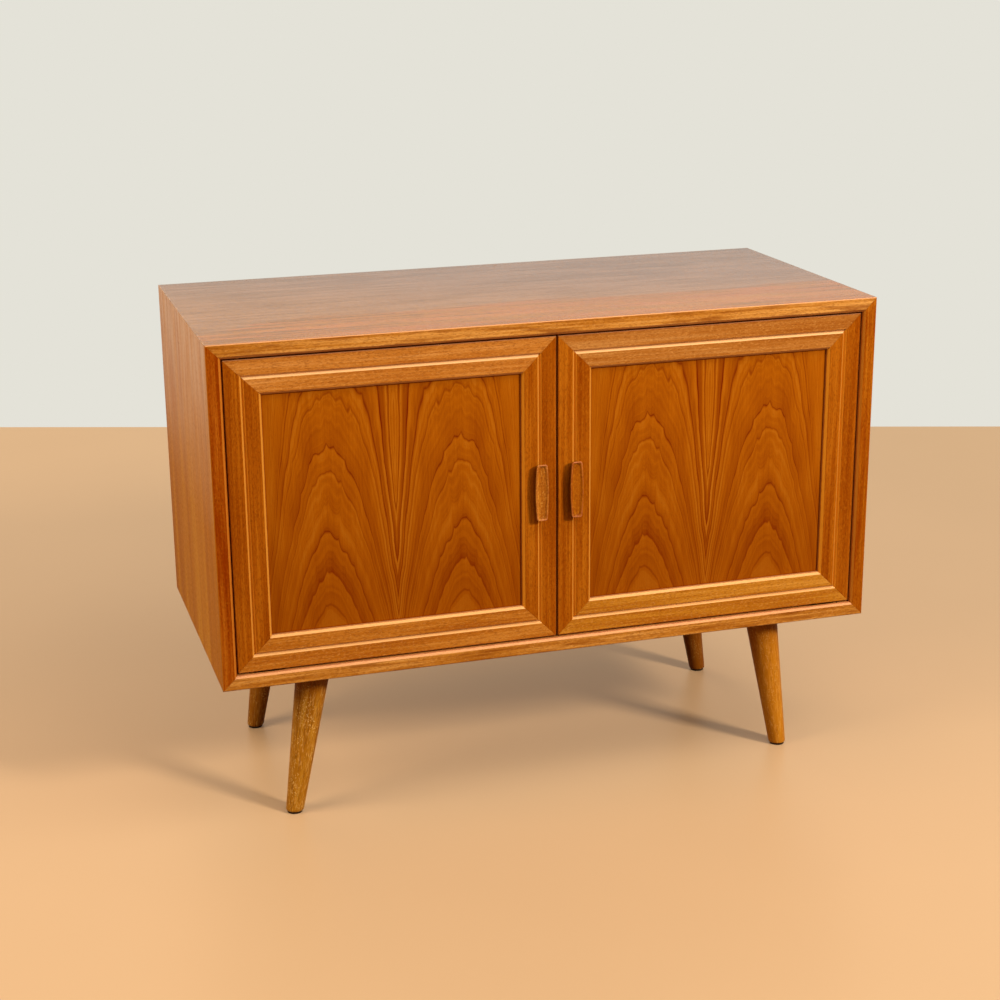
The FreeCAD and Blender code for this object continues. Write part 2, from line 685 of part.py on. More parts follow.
def bowedOutline(sketch, inset):
    # two bowed sides joined by straight ends, all set in from the pull's full outline
    middle = cell("pullMiddle") / 2 - inset
    end = cell("pullEnd") / 2 - inset
    half = cell("pullLength") / 2 - inset
    bow = middle - end
    radius = (half ** 2 + bow ** 2) / (2 * bow)
    sweep = math.asin(half / radius)
    first = sketch.GeometryCount
    for side, mid in ((1, 0), (-1, math.pi)):
        ring = Part.Circle(Vector(side * (middle - radius), 0, 0), Vector(0, 0, 1), radius)
        sketch.addGeometry(Part.ArcOfCircle(ring, mid - sweep, mid + sweep), False)
    right, left, top, bottom = first, first + 1, first + 2, first + 3
    sketch.addGeometry(Part.LineSegment(Vector(end, half, 0), Vector(-end, half, 0)), False)
    sketch.addGeometry(Part.LineSegment(Vector(-end, -half, 0), Vector(end, -half, 0)), False)
    for one, onePoint, other, otherPoint in ((right, 2, top, 1), (top, 2, left, 1),
                                             (left, 2, bottom, 1), (bottom, 2, right, 1)):
        sketch.addConstraint(Sketcher.Constraint("Coincident", one, onePoint, other, otherPoint))
    endFormula = "(pullEnd / 2 - %g)" % inset
    halfFormula = "(pullLength / 2 - %g)" % inset
    bowFormula = "((pullMiddle - pullEnd) / 2)"
    pin(sketch, right, 1, endFormula, "-" + halfFormula)
    pin(sketch, right, 2, endFormula, halfFormula)
    pin(sketch, left, 1, "-" + endFormula, halfFormula)
    pin(sketch, left, 2, "-" + endFormula, "-" + halfFormula)
    for side in (right, left):
        number = sketch.addConstraint(Sketcher.Constraint("Radius", side, radius))
        bind(sketch, "Constraints[%d]" % number,
             "(%s^2 + %s^2) / (2 * %s)" % (halfFormula, bowFormula, bowFormula))


def loft(body, kind, first, second):
    feature = body.newObject("PartDesign::" + kind, body.Label + kind)
    feature.Profile = first
    feature.Sections = [second]
    document.recompute()
    return feature


def pull(label, side):
    body = newBody(label)
    base = newSketch(body, "XZ_Plane")
    bowedOutline(base, cell("pullUndercut"))
    face = newSketch(body, "XZ_Plane", "pullReach")
    bowedOutline(face, 0)
    block = loft(body, "AdditiveLoft", base, face)
    corners = ["Edge%d" % number for number, edge in enumerate(body.Shape.Edges, start=1)
               if edge.BoundBox.YLength > cell("pullReach") / 2]
    rounding = body.newObject("PartDesign::Fillet", label + "Fillet")
    rounding.Base = (block, corners)
    bind(rounding, "Radius", "pullCorner")
    rim = newSketch(body, "XZ_Plane", "pullReach")
    bowedOutline(rim, cell("pullRim"))
    floor = newSketch(body, "XZ_Plane", "pullReach - dishDepth")
    bowedOutline(floor, cell("pullRim") + cell("dishSlope"))
    dish = loft(body, "SubtractiveLoft", rim, floor)
    edges = ["Edge%d" % number for number, edge in enumerate(body.Shape.Edges, start=1)
             if abs(edge.BoundBox.YMax + cell("pullReach")) < tiny]
    softened = body.newObject("PartDesign::Fillet", label + "RimFillet")
    softened.Base = (dish, edges)
    bind(softened, "Radius", "pullRimEdge")
    holes = newSketch(body, "XZ_Plane")
    for up in ("", "-"):
        circle(holes, "0", up + "pullScrewPitch / 2", "pullScrew + screwPlay")
    pocket(body, holes, "pullHoleDepth", backwards=True)
    place(body, side + "(centreGap / 2 + pullInset)", doorFrontFormula, middleFormula)


def pullScrews(label, side):
    x = side * (cell("centreGap") / 2 + cell("pullInset"))
    group(label, [screwSolid(cell("pullScrew"), cell("pullScrewLength"),
                             Vector(x, doorBack, middleZ + up * cell("pullScrewPitch") / 2), Vector(0, -1, 0))
                  for up in (-1, 1)])


def strikePlate(label, side):
    body = newBody(label)
    face = newSketch(body, "XZ_Plane")
    rectangle(face, "-strikeWidth / 2", "-strikeHeight / 2", "strikeWidth / 2", "strikeHeight / 2")
    pad(body, face, "strike", backwards=True)
    holes = newSketch(body, "XZ_Plane", "-strike")
    for away in ("", "-"):
        circle(holes, away + "strikeWidth / 3", "0", "fittingScrew")
    countersink(body, holes, "fittingScrew", backwards=True)
    place(body, side + "catchCentre", doorFrontFormula + " + doorThickness",
          carcassEnds["top"] + " - strikeDrop")


def doorScrews(label, side):
    # the same small screws hold the hinge leaves and the strike plate
    size = (cell("fittingScrew"), cell("fittingScrewLength"))
    screws = []
    doorBottom = 2 * middleZ - doorTop
    for away in (cell("leafScrewNear"), cell("leafScrewFar")):
        x = side * (pivotX - away)
        screws.append(screwSolid(*size, Vector(x, pivotY, doorTop), Vector(0, 0, -1)))
        screws.append(screwSolid(*size, Vector(x, pivotY, doorBottom), Vector(0, 0, 1)))
    for away in (-1, 1):
        x = side * cell("catchCentre") + away * cell("strikeWidth") / 3
        at = Vector(x, doorBack + cell("strike"), ceilingZ - cell("strikeDrop"))
        screws.append(screwSolid(*size, at, Vector(0, -1, 0)))
    group(label, screws)


def door(name, sign, side, hingeTurn):
    doorX = sign + doorCentreFormula
    towards = "-" if side < 0 else ""
    away = "" if side < 0 else "-"
    prefix = "door_" + name + "_"
    rail(prefix + "rail_top", 0, doorX, towards, True, sign)
    rail(prefix + "rail_bottom", 180, doorX, away, False, sign)
    frameMember(prefix + "stile_hinge", doorHeightFormula, doorHalfWidth, hingeTurn, doorX)
    meetingStile(prefix + "stile_meeting", -hingeTurn, doorX)
    doorKeys(prefix + "mitre_keys", side * doorCentre)
    doorPanel(prefix + "panel", doorX)
    pull(prefix + "pull", sign)
    pullScrews(prefix + "pull_screws", side)
    strikePlate(prefix + "strike_plate", sign)
    doorScrews(prefix + "screws", side)


door("left", "-", -1, -90)
door("right", "", 1, 90)


# Legs, the angled plates that carry them, and their bolts and glides

tilt = math.degrees(math.atan(cell("splay") / cell("clearance")))
slope = cell("splay") / cell("clearance")
legX = cell("width") / 2 - cell("legInset")
legYs = {"front": frontY + cell("frontLegSetback"), "back": backY - cell("backLegSetback")}
stretch = "sqrt(1 + (splay / clearance)^2)"


def leg(label, side, sign, legLine):
    # drawn with its axis upright and its top face at z = 0, then leaned outwards
    body = newBody(label)
    half = newSketch(body, "XZ_Plane")
    bottom = "-((clearance - legDrop) * " + stretch + " + legOver)"
    outline(half, [("0", bottom), ("legFoot / 2", bottom), ("legTop / 2", "-legEdge"),
                   ("legTop / 2 - legEdge", "0"), ("0", "0")])
    turned = body.newObject("PartDesign::Revolution", label + "Revolution")
    turned.Profile = half
    turned.ReferenceAxis = (half, ["V_Axis"])
    turned.Angle = 360
    document.recompute()
    sole = newSketch(body, "XY_Plane", "-(clearance - legDrop - glide) * " + stretch, side * tilt)
    circle(sole, "0", "0", "2 * legTop")
    cut = pocket(body, sole, "legTop")
    rim = ["Edge%d" % number for number, edge in enumerate(body.Shape.Edges, start=1)
           if edge.BoundBox.ZMax < -(cell("clearance") - 2 * cell("legDrop"))
           and edge.BoundBox.XLength > cell("glideWidth")]
    rounding = body.newObject("PartDesign::Fillet", label + "Fillet")
    rounding.Base = (cut, rim)
    bind(rounding, "Radius", "soleEdge")
    hole = newSketch(body, "XY_Plane")
    circle(hole, "0", "0", "bolt + screwPlay")
    pocket(body, hole, "boltBelow + tipPlay")
    place(body, sign + "(width / 2 - legInset + splay * legDrop / clearance)",
          frontFormula + " + " + legLine, "clearance - legDrop", -side * tilt)


def legAxis(side):
    # upwards along a leg
    return Vector(-side * slope, 0, 1).normalize()


def legPlate():
    # for a leg that leans towards +X, with its centre on the underside of the carcass
    half = cell("plateWidth") / 2
    flange = Part.makeBox(2 * half, 2 * half, cell("plate"), Vector(-half, -half, -cell("plate")))
    corners = [edge for edge in flange.Edges if edge.BoundBox.ZLength > cell("plate") / 2]
    flange = flange.makeFillet(cell("plateCorner"), corners)
    seat = Vector(slope * cell("legDrop"), 0, -cell("legDrop"))
    boss = Part.makeCylinder(cell("legTop") / 2 - cell("bossInset"), 2 * cell("legDrop"), seat, legAxis(1))
    under = Part.makeBox(4 * half, 4 * half, 4 * half, Vector(-2 * half, -2 * half, -4 * half))
    under.translate(Vector(0, 0, -cell("plate") / 2))
    solid = flange.fuse(boss.common(under)).removeSplitter()
    thread = Part.makeCylinder((cell("bolt") + cell("screwPlay")) / 2, 4 * cell("legDrop"),
                               seat - legAxis(1) * cell("legDrop"), legAxis(1))
    solid = solid.cut(thread)
    radius = (cell("plateScrew") + cell("screwPlay")) / 2
    for x in (-1, 1):
        for y in (-1, 1):
            at = Vector(x * cell("plateScrewSpread"), y * cell("plateScrewSpread"), -cell("plate"))
            hole = Part.makeCylinder(radius, cell("plate"), at)
            sink = Part.makeCone(2 * radius, radius, radius, at)
            solid = solid.cut(hole.fuse(sink))
    return solid


def legFittings():
    plates = []
    screws = []
    bolts = []
    glides = []
    pattern = legPlate()
    for side in (-1, 1):
        for legY in legYs.values():
            foot = Vector(side * legX, legY, cell("clearance"))
            plate = pattern.copy()
            plate.Placement = Placement(foot, Rotation(Vector(0, 0, 1), 0 if side > 0 else 180))
            plates.append(plate)
            for x in (-1, 1):
                for y in (-1, 1):
                    at = foot + Vector(x * cell("plateScrewSpread"), y * cell("plateScrewSpread"),
                                       -cell("plate"))
                    screws.append(screwSolid(cell("plateScrew"), cell("plateScrewLength"), at,
                                             Vector(0, 0, 1)))
            seat = foot + Vector(side * slope * cell("legDrop"), 0, -cell("legDrop"))
            bolts.append(Part.makeCylinder(cell("bolt") / 2, cell("boltAbove") + cell("boltBelow"),
                                           seat - legAxis(side) * cell("boltBelow"), legAxis(side)))
            sole = foot + Vector(side * slope * (cell("clearance") - cell("glide")), 0, -cell("clearance"))
            glides.append(Part.makeCylinder(cell("glideWidth") / 2, cell("glide"), sole))
    group("leg_plates", plates)
    group("leg_plate_screws", screws)
    group("hanger_bolts", bolts)
    group("foot_glides", glides)


for name, side, sign in (("left", -1, "-"), ("right", 1, "")):
    leg("leg_front_" + name, side, sign, legLines[0])
    leg("leg_back_" + name, side, sign, legLines[1])
legFittings()


# Check every piece, then write it

document.recompute()
pieces = [item for item in document.Objects
          if item.TypeId == "PartDesign::Body" or item.TypeId == "Part::Feature"]
for item in document.Objects:
    if "Invalid" in item.State or "Error" in item.State:
        raise RuntimeError("%s failed: %s" % (item.Label, item.State))
for item in pieces:
    if item.Shape.isNull() or not item.Shape.isValid() or not item.Shape.Solids:
        raise RuntimeError(item.Label + " has no valid solid")
    item.Shape.exportStep("parts/%s.step" % item.Label)
print("%d pieces written" % len(pieces))
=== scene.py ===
import math

import bmesh
import bpy
from mathutils import Matrix, Vector


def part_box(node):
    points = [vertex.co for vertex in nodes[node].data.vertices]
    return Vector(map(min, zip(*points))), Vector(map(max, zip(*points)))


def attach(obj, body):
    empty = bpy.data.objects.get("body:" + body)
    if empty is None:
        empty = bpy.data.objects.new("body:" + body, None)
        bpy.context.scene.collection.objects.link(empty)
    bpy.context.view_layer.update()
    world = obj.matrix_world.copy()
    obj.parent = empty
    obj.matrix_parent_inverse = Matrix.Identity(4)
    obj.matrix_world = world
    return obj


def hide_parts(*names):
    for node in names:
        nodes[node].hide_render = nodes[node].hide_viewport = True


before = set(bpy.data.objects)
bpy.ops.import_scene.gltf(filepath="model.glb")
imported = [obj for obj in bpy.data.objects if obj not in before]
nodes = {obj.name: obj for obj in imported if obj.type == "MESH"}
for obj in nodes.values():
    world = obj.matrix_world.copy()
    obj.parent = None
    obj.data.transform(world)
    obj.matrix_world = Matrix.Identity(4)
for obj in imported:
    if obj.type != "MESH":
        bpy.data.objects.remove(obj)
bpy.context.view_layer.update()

scene = bpy.context.scene


# Small helpers

def linear(code, alpha=1.0):
    # sRGB hex to the linear values that shaders take
    levels = [int(code[i:i + 2], 16) / 255 for i in (1, 3, 5)]
    return [p / 12.92 if p <= 0.04045 else ((p + 0.055) / 1.055) ** 2.4 for p in levels] + [alpha]


def asValue(value):
    # hex colours turned linear, anything else as it is
    return linear(value) if isinstance(value, str) and value.startswith("#") else value


def addNode(tree, kind, inputs=None, **settings):
    # adds and sets a node, a shader node by default, then links or fills its inputs
    node = tree.nodes.new(kind if "Node" in kind else "ShaderNode" + kind)
    for name, value in settings.items():
        setattr(node, name, value)
    for key, value in (inputs or {}).items():
        if isinstance(value, bpy.types.Node):
            value = next(socket for socket in value.outputs if socket.enabled)
        if isinstance(value, bpy.types.NodeSocket):
            tree.links.new(value, node.inputs[key])
        else:
            node.inputs[key].default_value = asValue(value)
    return node


def mathIn(tree):
    # a short call that adds a math node to one tree
    signs = {"+": "ADD", "-": "SUBTRACT", "*": "MULTIPLY", "*+": "MULTIPLY_ADD"}

    def calc(kind, first, second=0.0, third=0.0, **settings):
        inputs = {0: first, 1: second, 2: third}
        return addNode(tree, "Math", inputs, operation=signs.get(kind, kind), **settings)
    return calc


def parts(tree, value):
    return addNode(tree, "SeparateXYZ", {0: value}).outputs


def vector(tree, x, y, z):
    return addNode(tree, "CombineXYZ", {"X": x, "Y": y, "Z": z})


def steps(tree, value, low, high, start=0.0, end=1.0, **settings):
    # the value from low to high, drawn as start to end
    return addNode(tree, "MapRange", {"Value": value, "From Min": low, "From Max": high,
                                      "To Min": start, "To Max": end}, **settings)


def ramp(tree, tone, stops):
    # the tone as a colour, from (position, colour) pairs
    node = addNode(tree, "ValToRGB", {0: tone})
    elements = node.color_ramp.elements
    elements.remove(elements[-1])
    elements[0].position, elements[0].color = stops[0][0], asValue(stops[0][1])
    for position, value in stops[1:]:
        elements.new(position).color = asValue(value)
    return node


def scaled(tree, colour, factor):
    return addNode(tree, "VectorMath", {0: linear(colour)[:3], "Scale": factor}, operation="SCALE")


def blend(tree, share, first, second):
    mix = addNode(tree, "Mix", {0: share, 6: first, 7: second}, data_type="RGBA")
    return mix.outputs[2]


def dotProduct(tree, first, second):
    return addNode(tree, "VectorMath", {0: first, 1: second}, operation="DOT_PRODUCT").outputs["Value"]


def mixed(tree, share, first, second):
    return addNode(tree, "Mix", {0: share, 2: first, 3: second}, data_type="FLOAT")


def mixShader(tree, share, first, second):
    return addNode(tree, "MixShader", {0: share, 1: first, 2: second})


def surface(tree, shader):
    addNode(tree, "OutputMaterial", {"Surface": shader})


def ownPlace(tree, kind="Object"):
    # the object's own coordinates, or with "Normal" the way its faces look
    return addNode(tree, "TexCoord").outputs[kind]


def newMaterial(name):
    material = bpy.data.materials.new(name)
    material.use_nodes = True
    material.node_tree.nodes.clear()
    return material, material.node_tree, mathIn(material.node_tree)


def newObject(name, data, material=None):
    piece = bpy.data.objects.new(name, data)
    scene.collection.objects.link(piece)
    if material:
        data.materials.append(material)
    return piece


def builtMesh(name, build):
    # what was built, with its faces turned outwards
    bmesh.ops.recalc_face_normals(build, faces=build.faces)
    mesh = bpy.data.meshes.new(name)
    build.to_mesh(mesh)
    build.free()
    return mesh


def newGroup(name, **sockets):
    # a Geometry Nodes group: itself, its inputs and its math call
    group = bpy.data.node_groups.new(name, "GeometryNodeTree")
    for label, kind in {"Geometry": "Geometry", **sockets}.items():
        group.interface.new_socket(label, in_out="INPUT", socket_type="NodeSocket" + kind)
    group.interface.new_socket("Geometry", in_out="OUTPUT", socket_type="NodeSocketGeometry")
    return group, addNode(group, "NodeGroupInput").outputs, mathIn(group)


doorSides = (("left", -1), ("right", 1))


# Camera at the photograph's viewpoint

cameraView = {"place": (-0.7709, -2.4623, 1.1523), "azimuth": -17.04, "elevation": 17.08,
              "roll": -0.53, "lens": 68.71, "sensor": 36.0}


def makeCamera(view):
    azimuth, elevation, roll = (math.radians(view[key]) for key in ("azimuth", "elevation", "roll"))
    back = Vector((math.sin(azimuth) * math.cos(elevation), -math.cos(azimuth) * math.cos(elevation),
                   math.sin(elevation)))
    right = (-back).cross(Vector((0, 0, 1))).normalized()
    up = right.cross(-back)
    level = Matrix((right, up, back)).transposed()
    lens = bpy.data.cameras.new("photoCamera")
    lens.sensor_fit = "HORIZONTAL"
    lens.sensor_width = view["sensor"]
    lens.lens = view["lens"]
    camera = newObject("photoCamera", lens)
    camera.matrix_world = Matrix.Translation(view["place"]) @ (level @ Matrix.Rotation(roll, 3, "Z")).to_4x4()
    scene.camera = camera


makeCamera(cameraView)
scene.view_settings.view_transform = "Standard"
print("camera set")


# Plain pale floor and wall, soft light

studio = {"floor": "#CDA67A", "floorBounce": "#8A6238", "floorGlow": 1.3, "glowReach": (0.5, 3.2),
          "glowShare": (0.1, 0.9), "floorCloud": (0.97, 1.03), "floorRoughness": 0.38, "floorHalf": 40.0,
          "wall": "#E4E2D8", "wallAway": 1.754, "wallTurn": -18.95, "wallHeight": 3.4, "wallHalf": 7.0,
          "ambient": 0.18, "ambientColour": "#FFFFFF",
          # a warm board on the wall, above the picture, that the satin top mirrors
          "board": "#FFCFA0", "boardGlow": 1.5, "boardFrom": 1.0, "boardBlend": 0.03}
lamps = {
    # the key, small enough for the pulls' sharp dark shadows
    "keyBox": {"place": (2.5, -3.5, 2.6), "size": (0.7, 0.7), "power": 222, "colour": "#FFF6EA"},
    # a weak fill from the left, and a long box that the moulding's upward flanks mirror
    "fillBox": {"place": (-2.7, -0.5, 1.7), "size": (1.5, 1.5), "power": 62, "colour": "#FFF0DC",
                "aim": (-0.4, -0.1, 0.4)},
    "topBox": {"place": (0.6, -1.1, 2.2), "size": (1.8, 0.9), "power": 24, "colour": "#FFFFFF",
               "aim": (0.2, -0.4, 0.3), "mirrored": True},
    # a weak one for whoever looks from behind
    "backBox": {"place": (-0.8, 2.8, 1.7), "size": (1.6, 1.6), "power": 26, "colour": "#FFF0DC"},
}


def planeObject(name, corners, material):
    mesh = bpy.data.meshes.new(name)
    mesh.from_pydata(corners, [], [(0, 1, 2, 3)])
    newObject(name, mesh, material)


def floorMaterial(look):
    # pale to the camera and darker in the light that it throws back, so that gaps stay deep;
    # far from the lamps it glows by itself
    material, tree, calc = newMaterial("pale lacquered floor")
    seen = addNode(tree, "LightPath").outputs["Is Camera Ray"]
    place = ownPlace(tree)
    cloud = addNode(tree, "TexNoise", {"Vector": place, "Scale": 2.2, "Detail": 3.0})
    shade = scaled(tree, look["floor"], steps(tree, cloud, 0, 1, *look["floorCloud"]))
    colour = blend(tree, seen, look["floorBounce"], shade)
    shader = addNode(tree, "BsdfPrincipled", {"Base Color": colour, "Roughness": look["floorRoughness"]})
    away = addNode(tree, "VectorMath", {0: place}, operation="LENGTH").outputs["Value"]
    share = calc("*", steps(tree, away, *look["glowReach"], *look["glowShare"]), seen)
    shader = mixShader(tree, share, shader,
                       addNode(tree, "Emission", {"Color": shade, "Strength": look["floorGlow"]}))
    # unseen from below, so it hides nothing
    under = calc("*", addNode(tree, "NewGeometry").outputs["Backfacing"], seen)
    surface(tree, mixShader(tree, under, shader, addNode(tree, "BsdfTransparent")))
    return material


def wallMaterial(look):
    # seen from its front only, by the camera and in reflections, so that it shades nothing
    material, tree, calc = newMaterial("pale painted wall")
    light = addNode(tree, "LightPath").outputs
    side = addNode(tree, "NewGeometry").outputs
    edge, soft = look["boardFrom"], look["boardBlend"]
    high = steps(tree, parts(tree, side["Position"])["Z"], edge - soft, edge + soft)
    board = [value * look["boardGlow"] for value in linear(look["board"])]
    tone = blend(tree, calc("*", high, light["Is Glossy Ray"]), look["wall"], board)
    seen = calc("MAXIMUM", light["Is Camera Ray"], light["Is Glossy Ray"])
    front = calc("-", seen, side["Backfacing"], use_clamp=True)
    glow = addNode(tree, "Emission", {"Color": tone, "Strength": 1.0})
    surface(tree, mixShader(tree, front, addNode(tree, "BsdfTransparent"), glow))
    return material


def makeStudio(look, boxes):
    half = look["floorHalf"]
    planeObject("floor", [(-half, -half, 0), (half, -half, 0), (half, half, 0), (-half, half, 0)],
                floorMaterial(look))
    turn = Matrix.Rotation(math.radians(look["wallTurn"]), 3, "Z")
    reach, away, height = look["wallHalf"], look["wallAway"], look["wallHeight"]
    corners = [turn @ Vector(corner) for corner in ((-reach, away, 0), (reach, away, 0), (reach, away, height),
                                                    (-reach, away, height))]
    planeObject("wall", corners, wallMaterial(look))
    world = bpy.data.worlds.new("softRoom")
    scene.world = world
    world.use_nodes = True
    tree = world.node_tree
    tree.nodes.clear()
    light = addNode(tree, "LightPath").outputs["Is Camera Ray"]
    room = addNode(tree, "Background", {"Color": look["ambientColour"], "Strength": look["ambient"]})
    seen = addNode(tree, "Background", {"Color": look["wall"], "Strength": 1.0})
    addNode(tree, "OutputWorld", {"Surface": mixShader(tree, light, room, seen)})
    for name, box in boxes.items():
        data = bpy.data.lights.new(name, "AREA")
        data.shape = "RECTANGLE"
        data.size, data.size_y = box["size"]
        data.energy = box["power"]
        data.color = linear(box["colour"])[:3]
        lamp = newObject(name, data)
        lamp.location = box["place"]
        aim = Vector(box.get("aim", (0, 0, 0.4))) - Vector(box["place"])
        lamp.rotation_euler = aim.to_track_quat("-Z", "Y").to_euler()
        lamp.visible_camera = False
        # the satin top would mirror the lamps as white patches
        lamp.visible_glossy = box.get("mirrored", False)


makeStudio(studio, lamps)
print("floor, wall and lamps set")


# Wood

def grainSpace(tree, turn=(0, 0, 0), shift=(0, 0, 0)):
    # object coordinates in millimetres, turned so that Z runs along the grain
    return addNode(tree, "Mapping", {"Vector": ownPlace(tree), "Location": shift,
                                     "Rotation": [math.radians(a) for a in turn],
                                     "Scale": (1000, 1000, 1000)})


def longNoise(tree, space, lengths, detail=3.0, rough=0.6):
    # noise so many mm long along X, Y and Z
    small = addNode(tree, "VectorMath", {0: space, 1: [1 / length for length in lengths]}, operation="MULTIPLY")
    return addNode(tree, "TexNoise", {"Vector": small, "Scale": 1.0, "Detail": detail, "Roughness": rough})


def streaks(tree, space, across, along, detail=3.0, rough=0.55):
    # noise drawn out along the grain: streaks so many mm wide and long
    return longNoise(tree, space, (across, across, along), detail, rough)


def clouds(tree, space, lengths, detail, rough, *span):
    # noise as a share that grows from one tone to another
    return steps(tree, longNoise(tree, space, lengths, detail, rough), *span)


# how far a face has turned, as the part of its normal along one axis
turnedAside = {"from the front": (0.95, 0.8), "from the sides": (0.1, 0.4), "up or left": (-0.3, 0.3),
               "face": (0.3, 0.6), "gap wall": (0.3, 0.05), "skin": (0.8, 0.95)}


def paleFlanks(tree, colour, look):
    # painted highlight: the flanks of mouldings and chamfers are painted pale, most of all where they look up
    calc = mathIn(tree)
    way = parts(tree, ownPlace(tree, "Normal"))
    forwards = calc("ABSOLUTE", way["Y"])
    aside = steps(tree, forwards, *turnedAside["from the front"])
    slant = steps(tree, forwards, *turnedAside["from the sides"])
    upwards = steps(tree, way["Z"], *turnedAside["up or left"], look["flankBelow"], 1.0)
    share = calc("*", calc("*", aside, upwards), slant)
    # on upright mouldings the flanks that look left get a painted highlight in a colour of their own
    flank = look["flank"]
    if "flankLeft" in look:
        flank = blend(tree, steps(tree, way["X"], *turnedAside["up or left"][::-1]), flank, look["flankLeft"])
    return blend(tree, share, colour, flank)


def outlineGap(tree, outline):
    # how many mm a point lies outside an upright rectangle: centre x and z, half width and height
    calc = mathIn(tree)
    place = parts(tree, grainSpace(tree))
    return [calc("-", calc("ABSOLUTE", calc("-", place[axis], middle)), half)
            for axis, middle, half in (("X", outline[0], outline[2]), ("Z", outline[1], outline[3]))]


def grimyEdges(tree, colour, outlines, look):
    # painted shade: an uneven dark line along the edges of the recesses and gaps; the gaps' walls get a painted
    # colour of their own for the light and shade in them
    calc = mathIn(tree)
    forwards = calc("ABSOLUTE", parts(tree, ownPlace(tree, "Normal"))["Y"])
    face = steps(tree, forwards, *turnedAside["face"])
    cloud = streaks(tree, grainSpace(tree), 7, 7)
    for outline in outlines:
        wide = outline[4]
        gap = calc("*+", cloud, -wide, calc("ABSOLUTE", calc("MAXIMUM", *outlineGap(tree, outline))))
        share = calc("*", steps(tree, gap, -0.2, 0.55 * wide, look["grime"], 0), face)
        colour = blend(tree, share, colour, look["grimeColour"])
    return blend(tree, steps(tree, forwards, *turnedAside["gap wall"]), colour, look["gap"])


def wornCorners(tree, colour, look):
    # along the case's outer edges the wood is pale in places: knocks, and a painted highlight along the arrises
    calc = mathIn(tree)
    gap = calc("MAXIMUM", *(calc("ABSOLUTE", off) for off in outlineGap(tree, caseOutline)))
    there = clouds(tree, grainSpace(tree), *look["knocked"])
    return blend(tree, calc("*", steps(tree, gap, 1.8, 0.3), there), colour, look["knockedColour"])


def filmGloss(tree, pores, look):
    # rougher where the pores break the film
    return steps(tree, pores, 0, 1, look["roughness"], look["roughness"] + look.get("patchy", 0.12))


def finishWood(tree, colour, pores, look, skin=None):
    # satin film over the wood: warm at the middle of a face and white at a glancing angle
    # painted highlight on the flanks of mouldings and chamfers
    if "flank" in look:
        colour = paleFlanks(tree, colour, look)
    # painted shade along the outlines of recesses and gaps
    if "outlines" in look:
        colour = grimyEdges(tree, colour, look["outlines"], look)
    gloss = filmGloss(tree, pores, look)
    if skin:
        # one face of the board has another wood's look
        facing = dotProduct(tree, ownPlace(tree, "Normal"), skin["way"])
        share = steps(tree, facing, *turnedAside["skin"])
        outer, pits = woodTone(tree, grainSpace(tree, *skin["space"]), skin["look"])
        colour = blend(tree, share, colour, skin["tones"](tree, outer))
        gloss = mixed(tree, share, gloss, filmGloss(tree, pits, skin["look"]))
    corner = addNode(tree, "Bevel", {"Radius": look["worn"] / 1000}, samples=4)
    height = addNode(tree, "Bump", {"Height": pores, "Strength": look["poreDepth"], "Distance": 0.0002,
                                    "Normal": corner}, invert=True)
    shader = addNode(tree, "BsdfPrincipled",
                     {"Base Color": colour, "Roughness": gloss, "Normal": height, "IOR": look.get("ior", 1.5),
                      "Specular Tint": look["sheenTint"]})
    surface(tree, shader)


def withPores(tree, space, wood, look):
    # the wood with its open pores, and the pores by themselves
    pits = streaks(tree, space, look["pore"], look["poreLength"], 2.0, 0.5)
    pores = steps(tree, pits, look["poreFrom"], look["poreFrom"] + 0.1)
    return blend(tree, mathIn(tree)("*", pores, look["poreShade"]), wood, look["poreColour"]), pores


def woodTone(tree, space, look):
    # broad bands, growth lines and short open pores: the wood's colour, and its pores
    bands = streaks(tree, space, look["band"], look["band"] * 18, 2.0)
    lines = streaks(tree, space, look["line"], look["line"] * 60, 4.0, 0.6)
    tone = mixed(tree, look["lineShare"], bands, lines)
    wood = ramp(tree, tone, [(0.36, look["dark"]), (0.5, look["middle"]), (0.64, look["light"])])
    colour, pores = withPores(tree, space, wood, look)
    if "fleck" in look:
        # short pale dashes between the pores
        dashes = streaks(tree, space, look["pore"] * 1.3, look["poreLength"] * 0.8, 2.0, 0.6)
        colour = blend(tree, steps(tree, dashes, 0.54, 0.66, 0, look["fleckShare"]), colour, look["fleck"])
    if "stain" in look:
        # uneven darker streaks
        cloud = streaks(tree, space, 6, 60, 4.0)
        colour = blend(tree, steps(tree, cloud, 0.5, 0.66, 0, look["stainShare"]), colour, look["stain"])
    return colour, pores


def straightWood(name, look, turn=(0, 0, 0), shift=(0, 0, 0), space=None, change=None, skin=None):
    # straight-grained wood; a function can change its colours
    material, tree, _ = newMaterial(name)
    space = space(tree) if space else grainSpace(tree, turn, shift)
    colour, pores = woodTone(tree, space, look)
    finishWood(tree, change(tree, colour) if change else colour, pores, look, skin)
    return material


# clouds: mm long along X, Y and Z, detail, roughness, the tones from and to which they grow, least and most
knocks = ((14, 14, 14), 4.0, 0.55, 0.48, 0.62, 0.05, 0.8)
